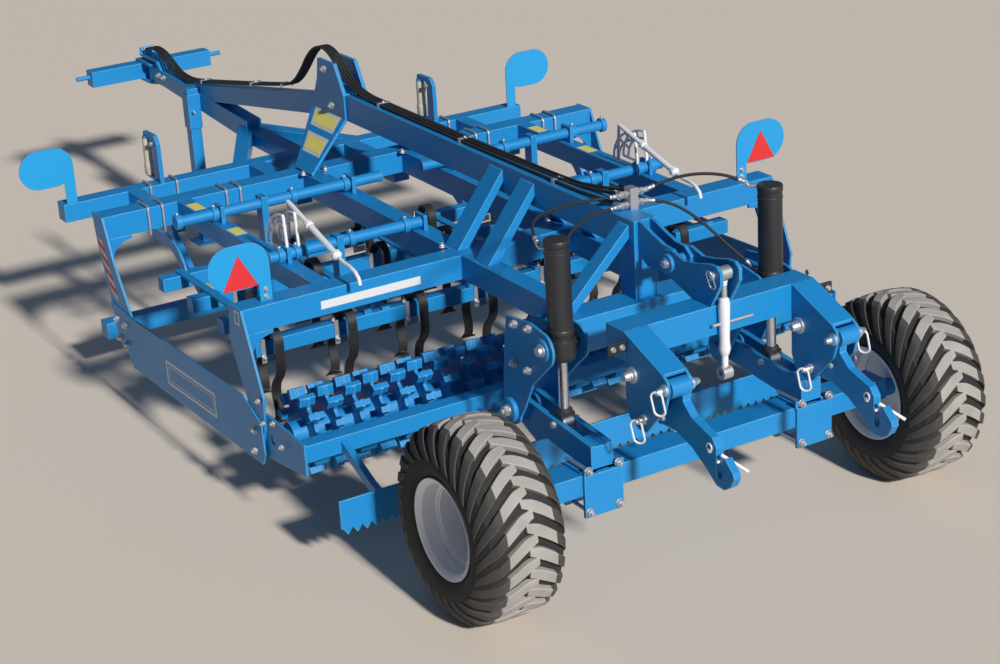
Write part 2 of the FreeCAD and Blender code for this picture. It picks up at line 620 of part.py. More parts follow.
TYRE_HALF = [("168", "bead_radius"), ("172", "bead_radius + 17"),
             ("tyre_width/2 - 6", "bead_radius + 57"), ("tyre_width/2", "tyre_radius - 127"),
             ("tyre_width/2 - 10", "tyre_radius - 67"), ("tyre_width/2 - 32", "tyre_radius - 25"),
             ("tyre_width/2 - 90", "tyre_radius - 7"), ("tyre_width/2 - 150", "tyre_radius")]
TYRE = TYRE_HALF + [(f"-({across})", radius) for across, radius in reversed(TYRE_HALF)]
RIM = [("168", "bead_radius"), ("172", "bead_radius + 17"), ("184", "bead_radius + 17"),
       ("180", "bead_radius - 9"), ("30", "bead_radius - 9"), ("30", "stub_radius + turning_gap"),
       ("-90", "stub_radius + turning_gap"), ("-90", "hub_radius"), ("16", "hub_radius"),
       ("16", "bead_radius - 9"), ("-180", "bead_radius - 9"), ("-184", "bead_radius + 17"),
       ("-172", "bead_radius + 17"), ("-168", "bead_radius")]
for word, side in SIDES.items():
    hand = "1" if side > 0 else "-1"
    x_text = "wheel_x" if side > 0 else "-wheel_x"
    tyre = turned(f"tyre_{word}_ring", TYRE, x_text, "wheel_y", "tyre_radius")
    node(f"tyre_{word}", tyre)
    outline = [(f"{hand} * ({across})", radius) for across, radius in RIM]
    rim = turned(f"rim_{word}_dish", outline, x_text, "wheel_y", "tyre_radius")
    x_low, x_high = mirrored_limits(side, "wheel_x + 20", "wheel_x + 62")
    cap = bar(f"hub_cap_{word}", "x", "stub_radius + 14", x_low, x_high, "wheel_y",
              "tyre_radius")
    node(f"rim_{word}", joined(f"rim_{word}_all", rim, cap))

# --- Seed drill hitch ---

node("drill_hitch_beam", block(
    "drill_hitch_beam_box", "-(hitch_outer_x + plate/2)", "hitch_outer_x + plate/2",
    "hitch_beam_y - hitch_beam/2", "hitch_beam_y + hitch_beam/2", "hitch_beam_top - hitch_beam",
    "hitch_beam_top"))

hitch_rear = "(hitch_beam_y - hitch_beam/2)"
ARM_CHEEK = [
    (hitch_rear, "hitch_beam_top"),
    ("hitch_pin_y + 18", "hitch_pin_z + 58"), ("hitch_pin_y - 14", "hitch_pin_z + 34"),
    ("hitch_pin_y - 22", "hitch_pin_z - 5"), ("hitch_pin_y + 5", "hitch_pin_z - 90"),
    ("hitch_pin_y + 62", "hitch_pin_z - 150"), ("stay_pin_y - 15", "stay_pin_z - 55"),
    ("stay_pin_y + 42", "stay_pin_z - 60"), ("stay_pin_y + 105", "stay_pin_z - 30"),
    (hitch_rear, "hitch_beam_top - 318"),
]
for word, side in SIDES.items():
    pieces = []
    for kind, middle in (("inner", "hitch_inner_x"), ("outer", "hitch_outer_x")):
        x_low, x_high = mirrored_limits(side, f"{middle} - plate/2", f"{middle} + plate/2")
        pieces.append(side_plate(f"hitch_cheek_{kind}_{word}", ARM_CHEEK, x_low, x_high))
    x_low, x_high = mirrored_limits(side, "hitch_inner_x", "hitch_outer_x")
    pieces.append(side_plate(f"hitch_lid_{word}", [
        (hitch_rear, "hitch_beam_top"), ("hitch_pin_y + 18", "hitch_pin_z + 58"),
        ("hitch_pin_y + 18", "hitch_pin_z + 44"), (hitch_rear, "hitch_beam_top - 14")],
        x_low, x_high))
    x_low, x_high = mirrored_limits(side, "hitch_inner_x - 30", "hitch_outer_x + 30")
    for kind, y_text, z_text, radius in (
            ("upper", "hitch_pin_y", "hitch_pin_z", "hitch_pin_radius"),
            ("lower", "stay_pin_y", "stay_pin_z", "stay_pin_radius"),
            ("root", "stay_pin_y + 75", "stay_pin_z + 172", "24")):
        pieces.append(bar(f"hitch_pin_{kind}_{word}", "x", radius, x_low, x_high, y_text, z_text))
    node(f"hitch_arm_{word}", joined(f"hitch_arm_{word}_all", *pieces))

HOOK = [
    ("hitch_pin_y + 26", "hitch_pin_z"), ("hitch_pin_y - 26", "hitch_pin_z"),
    ("hitch_pin_y - 20", "hitch_pin_z - 60"), ("-440", "874"), ("-574", "833"), ("-600", "800"),
    ("-600", "690"), ("-606", "676"), ("-619", "670"), ("-632", "676"), ("-638", "690"),
    ("-638", "764"), ("-655", "772"), ("-rear_reach + 8", "725"), ("-rear_reach", "705"),
    ("-690", "660"), ("-650", "634"), ("-600", "636"), ("-540", "680"), ("-440", "742"),
    ("-330", "776"), ("stay_pin_y - 34", "stay_pin_z - 30"), ("stay_pin_y", "stay_pin_z - 38"),
    ("stay_pin_y + 32", "stay_pin_z"), ("stay_pin_y + 10", "stay_pin_z + 35"), ("-290", "860"),
]
for word, side in SIDES.items():
    x_low, x_high = mirrored_limits(side, "hook_x - hook_thick/2", "hook_x + hook_thick/2")
    hook = side_plate(f"drill_hook_{word}_plate", HOOK, x_low, x_high)
    far_low, far_high = mirrored_limits(side, "hook_x - hook_thick/2",
                                        "hitch_outer_x - plate/2")
    boss = bar(f"drill_hook_{word}_boss", "x", "hitch_pin_radius + 22", far_low, far_high,
               "hitch_pin_y", "hitch_pin_z")
    holes = [
        bar(f"drill_hook_{word}_upper", "x", "hitch_pin_radius", f"{x_low} - 90", f"{x_high} + 90",
            "hitch_pin_y", "hitch_pin_z"),
        bar(f"drill_hook_{word}_lower", "x", "stay_pin_radius", f"{x_low} - 10", f"{x_high} + 10",
            "stay_pin_y", "stay_pin_z")]
    node(f"drill_link_{word}", less(f"drill_link_{word}_cut",
                                    joined(f"drill_hook_{word}_solid", hook, boss), *holes))

LUG = [
    ("backbone_rear", "backbone_top"), ("backbone_rear", "backbone_top - 150"),
    ("390", "1190"), ("240", "1205"), ("170", "1240"), ("165", "1285"), ("205", "1318"),
    ("270", "1322"), ("360", "1350"), ("420", "backbone_top - 6"),
]
MAST = [
    ("272", "1255"), ("225", "1205"), ("hitch_beam_y + hitch_beam/2", "hitch_beam_top"),
    (hitch_rear, "hitch_beam_top"), ("top_link_y - 28", "top_link_z - 70"),
    ("top_link_y - 54", "top_link_z - 28"), ("top_link_y - 54", "top_link_z + 22"),
    ("top_link_y - 26", "top_link_z + 46"), ("top_link_y + 25", "top_link_z + 44"),
    ("20", "1312"), ("100", "1300"), ("190", "1322"), ("250", "1312"),
]
hitch_lugs = []
mast_plates = []
for word, side in SIDES.items():
    x_low, x_high = mirrored_limits(side, "mast_x - 1.5*mast_plate", "mast_x - mast_plate/2")
    hitch_lugs.append(side_plate(f"hitch_lug_{word}", LUG, x_low, x_high))
    x_low, x_high = mirrored_limits(side, "mast_x - mast_plate/2", "mast_x + mast_plate/2")
    mast_plates.append(side_plate(f"mast_plate_{word}", MAST, x_low, x_high))
mast_pins = [
    bar("mast_pin_rear", "x", "12.5", "-mast_x - 30", "mast_x + 30", "top_link_y", "top_link_z"),
    bar("mast_pin_front", "x", "24", "-mast_x - 30", "mast_x + 30", "220", "1262"),
]
node("hitch_mast", joined("hitch_mast_all", *hitch_lugs, *mast_plates, *mast_pins))

link_tube = bar("top_link_tube", "z", "14", "top_link_low + 25", "top_link_z - 30", "0",
                "top_link_y")
link_eyes = [
    bar("top_link_eye_upper", "x", "30", "-26", "26", "top_link_y", "top_link_z"),
    bar("top_link_eye_lower", "x", "30", "-24", "24", "top_link_y", "top_link_low"),
]
link_handle = bar("top_link_handle", "x", "7", "-62", "148", "top_link_y", "handle_z")
link_holes = [
    bar("top_link_hole", "x", "12.5", "-40", "40", "top_link_y", "top_link_z"),
    bar("top_link_bore", "x", "12.8", "-40", "40", "top_link_y", "top_link_low"),
]
node("top_link", less("top_link_cut", joined("top_link_solid", link_tube, link_handle, *link_eyes),
                      *link_holes))

# --- Side plates and side panels ---

FRONT_PLATE = [
    ("middle_beam_y - beam/2", "frame_top"), ("middle_beam_y + beam/2 + 15", "frame_top"),
    ("3262", "860"), ("3160", "panel_high - 10"), ("3110", "350"), ("2930", "350"),
    ("2905", "panel_high - 10"), ("3070", "800"),
]
REAR_PLATE = [
    ("rear_beam_y - beam/2", "frame_top"), ("rear_beam_y + beam/2", "frame_top"),
    ("rear_beam_y + beam/2 + 30", "830"), ("1505", "575"), ("1490", "330"), ("1400", "330"),
    ("1345", "480"), ("1330", "640"),
]
PANEL = [
    ("2932", "panel_low"), ("3158", "panel_high - 2"), ("2910", "panel_high - 11"),
    ("1545", "panel_high + 27"), ("1367", "505"), ("1353", "356"), ("1383", "panel_low + 33"),
]
for word, side in SIDES.items():
    plates = []
    for kind, outline, y_text in (("front", FRONT_PLATE, "middle_beam_y"),
                                  ("rear", REAR_PLATE, "rear_beam_y")):
        x_low, x_high = mirrored_limits(side, "half_width - plate - panel", "half_width - panel")
        plate = side_plate(f"{kind}_plate_{word}", outline, x_low, x_high)
        x_low, x_high = mirrored_limits(side, "half_width - plate - panel - gusset",
                                        "half_width - plate - panel")
        low = "(frame_top - beam - gusset)"
        web = block(f"{kind}_gusset_{word}", x_low, x_high, f"{y_text} - beam/2",
                    f"{y_text} - beam/2 + gusset_plate", low, "frame_top - beam")
        x_text = x_high if side < 0 else x_low
        scoop = bar(f"{kind}_gusset_scoop_{word}", "y", "gusset - 20", f"{y_text} - beam",
                    f"{y_text} + beam", x_text, low)
        plates.append(joined(f"{kind}_end_{word}", plate,
                             less(f"{kind}_gusset_{word}_cut", web, scoop)))
    node(f"end_plates_{word}", group(f"end_plates_{word}_all", *plates))
    x_low, x_high = mirrored_limits(side, "half_width - panel", "half_width")
    node(f"side_panel_{word}", side_plate(f"side_panel_{word}_sheet", PANEL, x_low, x_high))

# --- Rear roller and its frame ---

rings = [bar(f"roller_ring_{index}", "x", "roller_radius",
             f"({index} - (ring_count - 1)/2) * ring_step - ring_width/2",
             f"({index} - (ring_count - 1)/2) * ring_step + ring_width/2",
             "roller_y", "roller_z") for index in range(SIZES["ring_count"])]
roller_core = bar("roller_core", "x", "roller_tube", "-roller_half", "roller_half", "roller_y",
                  "roller_z")
journals = bar("roller_journals", "x", "journal_radius", "-(half_width - plate - panel - 4)",
               "half_width - plate - panel - 4", "roller_y", "roller_z")
node("roller", joined("roller_all", roller_core, journals, *rings))

carriers = []
for word, side in SIDES.items():
    x_low, x_high = mirrored_limits(side, "half_width - 2*plate - panel", "half_width - plate - panel")
    plate = side_plate(f"roller_plate_{word}", [
        ("roller_beam_y - roller_beam/2 - 10", "roller_beam_z - roller_beam/2 - 60"),
        ("roller_y + 50", "roller_z - 110"), ("roller_y + 160", "roller_z - 60"),
        ("roller_y + 160", "roller_z + 60"),
        ("roller_y + 60", "roller_beam_z + roller_beam/2 + 30"),
        ("roller_beam_y - roller_beam/2 - 10", "roller_beam_z + roller_beam/2 + 10"),
    ], x_low, x_high)
    hole = bar(f"roller_hole_{word}", "x", "journal_radius + turning_gap", f"{x_low} - plate",
               f"{x_high} + plate", "roller_y", "roller_z")
    carriers.append(less(f"roller_plate_{word}_bored", plate, hole))
node("roller_plates", group("roller_plates_all", *carriers))
beam_half = "(half_width - 2*plate - panel)"
node("roller_beam", block("roller_beam_tube", f"-{beam_half}", beam_half,
                          "roller_beam_y - roller_beam/2", "roller_beam_y + roller_beam/2",
                          "roller_beam_z - roller_beam/2", "roller_beam_z + roller_beam/2"))

# --- Toothed levelling board behind the roller, on arms from the roller beam ---


def toothed_board():
    """A folded plate with a row of teeth along its lower edge."""
    half, low, high = size("board_half"), size("board_low"), size("board_high")
    pitch, tall = size("tooth_pitch"), size("tooth_height")
    count = int(2 * half // pitch)
    start = -count * pitch / 2
    points = [Vector(half, 0, high), Vector(-half, 0, high), Vector(-half, 0, low + tall)]
    for index in range(count):
        points.append(Vector(start + index * pitch, 0, low + tall))
        points.append(Vector(start + (index + 0.5) * pitch, 0, low))
    points.append(Vector(start + count * pitch, 0, low + tall))
    points.append(Vector(half, 0, low + tall))
    face = Part.Face(Part.makePolygon(points + points[:1]))
    board = face.extrude(Vector(0, 10, 0))
    board.translate(Vector(0, size("board_y") - 5, 0))
    return board


board_arms = []
for index, x_text in enumerate(("-1280", "-430", "430", "1280")):
    board_arms.append(side_plate(f"board_arm_{index}", [
        ("board_y + 5", "board_high - 60"), ("board_y + 5", "board_high - 5"),
        ("board_y + 60", "board_high + 10"), ("roller_beam_y - roller_beam/2", "roller_beam_z + 20"),
        ("roller_beam_y - roller_beam/2", "roller_beam_z - 30"), ("board_y + 60", "board_high - 40"),
    ], f"{x_text} - 15", f"{x_text} + 15"))
node("rear_levelling_board", shaped("toothed_board", toothed_board()))
node("rear_board_arms", group("rear_board_arms_all", *board_arms))

# --- Front levelling bar on its arms, and the spring dampers on the front beam ---

front_bar = block("front_bar", "-bar_half", "bar_half", "bar_y - bar_size/2", "bar_y + bar_size/2",
                  "bar_z - bar_size/2", "bar_z + bar_size/2")
bar_arms = []
damper_parts = []
for word, side in SIDES.items():
    centre = "damper_x" if side > 0 else "-damper_x"
    bar_arms.append(side_plate(f"bar_arm_{word}", [
        ("bar_y - 30", "bar_z + bar_size/2"), ("bar_y + 35", "bar_z + bar_size/2"),
        ("front_beam_y + 50", "front_beam_top - front_beam - 140"),
        ("front_beam_y + 50", "front_beam_top - front_beam"),
        ("front_beam_y - 50", "front_beam_top - front_beam"),
        ("front_beam_y - 50", "front_beam_top - front_beam - 90"),
    ], f"{centre} - 15", f"{centre} + 15"))
    bracket = side_plate(f"damper_bracket_{word}", [
        ("front_beam_y - 45", "front_beam_top"), ("damper_y + 32", "front_beam_top"),
        ("damper_y + 32", "front_beam_top + 14"), ("front_beam_y + 35", "front_beam_top + 14"),
        ("front_beam_y + 25", "damper_top - 25"), ("front_beam_y + 40", "damper_top"),
        ("damper_y + 25", "damper_top"), ("damper_y + 20", "damper_top + 26"),
        ("front_beam_y - 10", "damper_top + 28"), ("front_beam_y - 42", "damper_top - 10"),
    ], f"{centre} - 12", f"{centre} + 12")
    tube = bar(f"damper_tube_{word}", "z", "damper_radius", "front_beam_top + 14",
               "damper_top", centre, "damper_y")
    damper_parts.append(joined(f"damper_{word}", bracket, tube))
node("front_levelling_bar", front_bar)
node("front_bar_arms", group("front_bar_arms_all", *bar_arms))
node("spring_dampers", group("spring_dampers_all", *damper_parts))

# --- Tine frame and four rows of spring tines ---

tine_bars = []
for row in range(4):
    middle = f"(tine_bar_rear + {row} * tine_bar_step)"
    tine_bars.append(block(f"tine_bar_{row}", "-tine_bar_half", "tine_bar_half",
                           f"{middle} - tine_bar/2", f"{middle} + tine_bar/2",
                           "tine_bar_z - tine_bar/2", "tine_bar_z + tine_bar/2"))
node("tine_bars", group("tine_bars_all", *tine_bars))
tine_ties = []
front_row = tine_bars[-1]
for index, steps_out in enumerate((-3.25, -1.75, -0.5, 0.5, 1.75, 3.25)):
    x_text = f"({steps_out} * tine_step)"
    tine_ties.append(block(f"tine_tie_{index}", f"{x_text} - 20", f"{x_text} + 20",
                           "tine_bar_rear - tine_bar/2",
                           "tine_bar_rear + 3*tine_bar_step + tine_bar/2",
                           "tine_bar_z + tine_bar/2", "tine_bar_z + tine_bar/2 + 12"))


def frame_arm(x):
    """A curved flat arm from under the middle beam down to the front tine bar."""
    depth = 60
    start = Vector(x, size("middle_beam_y + beam/2"), size("frame_top - beam") - depth / 2)
    steps = [("run", 240), ("turn", 220, 62), ("run", 35)]
    return bent_strip(start, 180, steps, depth, size("plate"))


for word, side in SIDES.items():
    arm = shaped(f"frame_arm_{word}_blank", frame_arm(side * 1200))
    tine_ties.append(less(f"frame_arm_{word}", arm, front_row))
node("tine_ties", group("tine_ties_all", *tine_ties))


def tine():
    """One spring tine with its point, hung from a bar centred on the origin."""
    half = size("tine_bar / 2")
    thick, width = size("tine_thick"), size("tine_width")
    steps = [("run", 20), ("turn", 45, -72), ("turn", 60, 162), ("run", 95), ("turn", 120, 50),
             ("turn", 110, -65), ("run", 38), ("turn", 90, 45), ("run", 14)]
    blade = bent_strip(Vector(0, half, half + thick / 2), 180, steps, thick, width)
    low = min((corner.Point for corner in blade.Vertexes), key=lambda dot: dot.z)
    spread = size("point_width / 2")
    tip = [low + Vector(0, 26, -6), low + Vector(spread, -38, 20), low + Vector(0, -10, 34),
           low + Vector(-spread, -38, 20)]
    point = Part.Face(Part.makePolygon([tip[0], tip[1], tip[2], tip[0]]))
    other = Part.Face(Part.makePolygon([tip[0], tip[2], tip[3], tip[0]]))
    down = Vector(0, 0, -7)
    share = point.extrude(down).fuse(other.extrude(down))
    return blade.fuse(share)


one_tine = tine()
for label, rows in (("tines_rear", (0, 1)), ("tines_front", (2, 3))):
    copies = []
    for row in rows:
        y_row = size(f"tine_bar_rear + {row} * tine_bar_step")
        first = -3.375 * size("tine_step") + row * size("tine_step") / 4
        for index in range(7):
            copy = one_tine.copy()
            copy.translate(Vector(first + index * size("tine_step"), y_row, size("tine_bar_z")))
            copies.append(copy)
    node(label, shaped(label + "_all", Part.makeCompound(copies)))

# --- Depth shafts, their bearing posts, hangers to the tine frame and crank spindles ---

shafts = []
for word, side in SIDES.items():
    for kind, y_text, z_text, near, far, hanger in (
            ("front", "front_shaft_y", "front_shaft_z", "120", "1275", "800"),
            ("rear", "rear_shaft_y", "rear_shaft_z", "285", "1126", "760")):
        x_low, x_high = mirrored_limits(side, near, far)
        parts = [bar(f"shaft_{kind}_{word}", "x", "shaft_radius", x_low, x_high, y_text, z_text)]
        for post, middle in (("inner", "centre_rail_x"), ("outer", "side_rail_x")):
            x_low, x_high = mirrored_limits(side, f"{middle} - 10", f"{middle} + 10")
            parts.append(block(f"post_{kind}_{post}_{word}", x_low, x_high, f"{y_text} - 45",
                               f"{y_text} + 45", "frame_top", f"{z_text} + shaft_radius + 12"))
        x_low, x_high = mirrored_limits(side, f"{hanger} - 18", f"{hanger} + 18")
        parts.append(block(f"hanger_{kind}_{word}", x_low, x_high, f"{y_text} - 35",
                           f"{y_text} + 35", "tine_bar_z + tine_bar/2 + 60",
                           f"{z_text} + shaft_radius + 10"))
        if kind == "rear":
            foot = ("tine_bar_rear - 30", f"{y_text} + 35")
        else:
            foot = (f"{y_text} - 35", "tine_bar_rear + 3*tine_bar_step + 30")
        parts.append(block(f"hanger_foot_{kind}_{word}", x_low, x_high, *foot,
                           "tine_bar_z + tine_bar/2", "tine_bar_z + tine_bar/2 + 60"))
        shafts.append(joined(f"depth_shaft_{kind}_{word}", *parts))
node("depth_shafts", group("depth_shafts_all", *shafts))

# --- Round marker boards on stems ---

markers = []
for kind, y_text, low, top, far in (
        ("rear", "(rear_beam_y - 10)", "frame_top", "rear_marker_top", "rear_marker_reach"),
        ("front", "(front_beam_y - 40)", "front_beam_top", "front_marker_top", "marker_reach")):
    for word, side in SIDES.items():
        middle_z = f"({top} - marker_height/2)"
        reach = f"{far} - marker_width/2"
        lobes = []
        for lobe, shift in (("near", "-"), ("far", "+")):
            x_text = f"({reach} {shift} (marker_width - marker_height)/2)"
            if side < 0:
                x_text = f"-{x_text}"
            lobes.append(bar(f"marker_{kind}_{word}_{lobe}", "y", "marker_height/2",
                             y_text, f"{y_text} + marker_thick", x_text, middle_z))
        x_low, x_high = mirrored_limits(side, f"{reach} - (marker_width - marker_height)/2",
                                        f"{reach} + (marker_width - marker_height)/2")
        lobes.append(block(f"marker_{kind}_{word}_middle", x_low, x_high, y_text,
                           f"{y_text} + marker_thick", f"{middle_z} - marker_height/2",
                           f"{middle_z} + marker_height/2"))
        x_low, x_high = mirrored_limits(side, f"{far} - marker_width",
                                        f"{far} - marker_width + 60")
        lobes.append(block(f"marker_{kind}_{word}_stem", x_low, x_high, y_text,
                           f"{y_text} + marker_thick", low, middle_z))
        markers.append(joined(f"marker_{kind}_{word}", *lobes))
node("marker_boards", group("marker_boards_all", *markers))

# --- Hose manifold on the backbone's rear end ---

valve_post = block("valve_post", "valve_x - 20", "valve_x + 20", "valve_y - 25", "valve_y + 25",
                   "backbone_top", "valve_high + 28")
valve_rows = [bar(f"valve_row_{level}", "x", "valve_radius", "valve_x - valve_half",
                  "valve_x + valve_half", "valve_y", level)
              for level in ("valve_low", "valve_high")]
node("valve_block", joined("valve_block_all", valve_post, *valve_rows))

# --- Hydraulic hoses, each a tube along straight runs joined by tangent arcs ---

HOSE_RADIUS = 7


def tube_along(points, radius):
    """A round tube whose path rounds each corner with the largest arc its runs allow."""
    edges = []
    radii = []
    length = 0
    last = points[0]
    for before, corner, after in zip(points, points[1:], points[2:]):
        back = (before - corner).normalize()
        ahead = (after - corner).normalize()
        half_turn = (math.pi - back.getAngle(ahead)) / 2
        shorter = min((before - corner).Length, (after - corner).Length)
        cut = 0.45 * shorter
        bend = cut / math.tan(half_turn)
        start, end = corner + back * cut, corner + ahead * cut
        middle_way = (back + ahead).normalize()
        centre = corner + middle_way * (bend / math.cos(half_turn))
        middle = centre - middle_way * bend
        edges.append(Part.LineSegment(last, start).toShape())
        edges.append(Part.Arc(start, middle, end).toShape())
        length += (start - last).Length + 2 * bend * half_turn
        radii.append(round(bend))
        last = end
    edges.append(Part.LineSegment(last, points[-1]).toShape())
    length += (points[-1] - last).Length
    ring = Part.Wire([Part.makeCircle(radius, points[0], points[1] - points[0])])
    tube = Part.Wire(edges).makePipeShell([ring], True, True)
    wanted = math.pi * radius ** 2 * length
    if not tube.isValid() or abs(tube.Volume / wanted - 1) > 0.01:
        raise RuntimeError("a hose has the wrong volume")
    print(f"hose {length:.0f} mm long, radii from {min(radii)} mm: {radii}")
    return tube


def corners(*rows):
    """Points from rows of x, y and z."""
    return [Vector(*row) for row in rows]


SUPPLY = [(6134, 1062), (6040, 1098), (5900, 1102), (5770, 1058), (5640, 1003), (5470, 996),
          (5300, 1017), (4050, 1248), (3890, 1292), (3760, 1395), (3660, 1500), (3560, 1566),
          (3455, 1582), (3355, 1545), (3270, 1470), (3160, 1415), (3020, 1394), (2860, 1389),
          (1060, 1389), (930, 1391), (800, 1396), (720, 1399), (633.2, 1400)]
SPREAD_FROM = 17
supply_hoses = []
for index, (x_start, x_end, rise) in enumerate(((-25.5, -10, 0), (-8.5, 5, 50), (8.5, 70, 50),
                                                (25.5, 86, 0))):
    route = []
    for number, (y, z) in enumerate(SUPPLY):
        late = max(0, number - SPREAD_FROM) / (len(SUPPLY) - 1 - SPREAD_FROM)
        sway = 1.5 * math.sin(number * 1.7 + index)
        route.append((x_start + sway * (1 - late) + late * (x_end - x_start), y, z + rise * late))
    supply_hoses.append(tube_along(corners(*route), HOSE_RADIUS))
node("supply_hoses", shaped("supply_hoses_all", Part.makeCompound(supply_hoses)))

LIFT_HOSES = {
    "left": [
        [(-31.2, 620, 1450), (-150, 615, 1462), (-282, 600, 1475), (-425, 562, 1486),
         (-535, 508, 1484), (-588, 440, 1464), (-600, 372, 1425)],
        [(-31.4, 620, 1400), (-173, 600, 1404), (-288, 560, 1394), (-380, 500, 1362),
         (-430, 448, 1300), (-456, 400, 1220), (-470, 366, 1140)],
    ],
    "right": [
        [(113.5, 620, 1450), (203, 590, 1480), (282, 535, 1504), (361, 475, 1508),
         (435, 412, 1494), (486, 372, 1462)],
        [(112.6, 620, 1400), (207, 596, 1386), (306, 550, 1318), (380, 500, 1236),
         (436, 447, 1160), (480, 408, 1108), (515, 372, 1062)],
    ],
}
for word, routes in LIFT_HOSES.items():
    hoses = [tube_along(corners(*route), HOSE_RADIUS) for route in routes]
    node(f"lift_hoses_{word}", shaped(f"lift_hoses_{word}_all", Part.makeCompound(hoses)))

# --- Check and write ---

doc.recompute()
faults = [thing.Name for thing in doc.Objects if "Invalid" in thing.State or "Error" in thing.State]
if faults:
    raise RuntimeError(f"objects that failed: {faults}")
for label, thing in NODES.items():
    if thing.Shape.isNull() or not thing.Shape.isValid() or thing.Shape.Volume <= 0:
        raise RuntimeError(f"{label} has no valid shape")
os.makedirs("parts", exist_ok=True)
for label, thing in NODES.items():
    thing.Shape.exportStep(f"parts/{label}.step")
print(f"{len(NODES)} sub-parts, solids: {sum(len(thing.Shape.Solids) for thing in NODES.values())}")
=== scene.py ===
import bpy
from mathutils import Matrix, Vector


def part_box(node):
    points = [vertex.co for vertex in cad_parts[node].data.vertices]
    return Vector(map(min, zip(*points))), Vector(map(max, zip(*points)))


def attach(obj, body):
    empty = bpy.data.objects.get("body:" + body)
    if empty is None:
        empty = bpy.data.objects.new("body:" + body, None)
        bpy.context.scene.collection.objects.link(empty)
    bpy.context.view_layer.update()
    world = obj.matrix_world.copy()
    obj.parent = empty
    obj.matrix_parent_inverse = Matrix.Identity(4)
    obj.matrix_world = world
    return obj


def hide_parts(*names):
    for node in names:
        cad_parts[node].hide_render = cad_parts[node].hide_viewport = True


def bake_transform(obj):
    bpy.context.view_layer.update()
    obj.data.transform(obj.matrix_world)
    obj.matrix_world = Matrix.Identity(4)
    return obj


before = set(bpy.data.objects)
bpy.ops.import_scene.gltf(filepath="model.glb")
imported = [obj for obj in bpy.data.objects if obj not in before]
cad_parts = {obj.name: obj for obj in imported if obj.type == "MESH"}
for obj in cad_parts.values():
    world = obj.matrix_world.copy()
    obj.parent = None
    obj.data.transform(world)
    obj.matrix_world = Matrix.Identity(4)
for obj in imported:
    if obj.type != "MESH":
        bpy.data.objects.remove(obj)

"""Looks of a trailed seedbed cultivator: finishes, tyres, toothed roller, hoses and fittings.

Lengths are in metres in the row frame. Places along Y are counted forward from the machine's
datum line just behind the wheel axle, and at() turns them into the frame.
"""

import logging
import math
from dataclasses import dataclass
from enum import Enum

import bmesh
import bpy
from mathutils import Matrix, Vector

LOG = logging.getLogger("cultivator")
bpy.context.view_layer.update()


class Side(Enum):
    """The two sides of the machine, seen from behind, with the sign of X there."""

    LEFT = -1
    RIGHT = 1

    @property
    def word(self) -> str:
        """The side's name as nodes and bodies spell it."""
        return self.name.lower()


Pair = tuple[float, float]
Triple = tuple[float, float, float]
Profile = list[Pair]

TURN = 2 * math.pi

# The lift cylinders' places: out from the machine's middle, and forward from the datum line.
CYLINDER_X = 0.555
CYLINDER_Y = 0.3
barrel_low, barrel_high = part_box("cylinder_barrel_left")
LINE_Y = (barrel_low.y + barrel_high.y) / 2 - CYLINDER_Y


def at(x: float, y: float, z: float) -> Vector:
    """A point whose y is counted forward from the datum line."""
    return Vector((x, y + LINE_Y, z))


def span(node: str) -> list[Vector]:
    """A CAD node's lowest and highest corners, with y counted from the datum line."""
    return [corner - Vector((0, LINE_Y, 0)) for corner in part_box(node)]


UP = Vector((0, 0, 1))
REARWARD = Vector((0, -1, 0))


def sideways(amount: float) -> Vector:
    """A step along X."""
    return Vector((amount, 0, 0))


def placed(name: str, data: bpy.types.ID) -> bpy.types.Object:
    """Put data into the scene as a new object."""
    made = bpy.data.objects.new(name, data)
    bpy.context.scene.collection.objects.link(made)
    return made


# --- Shader node groups that several finishes share ---


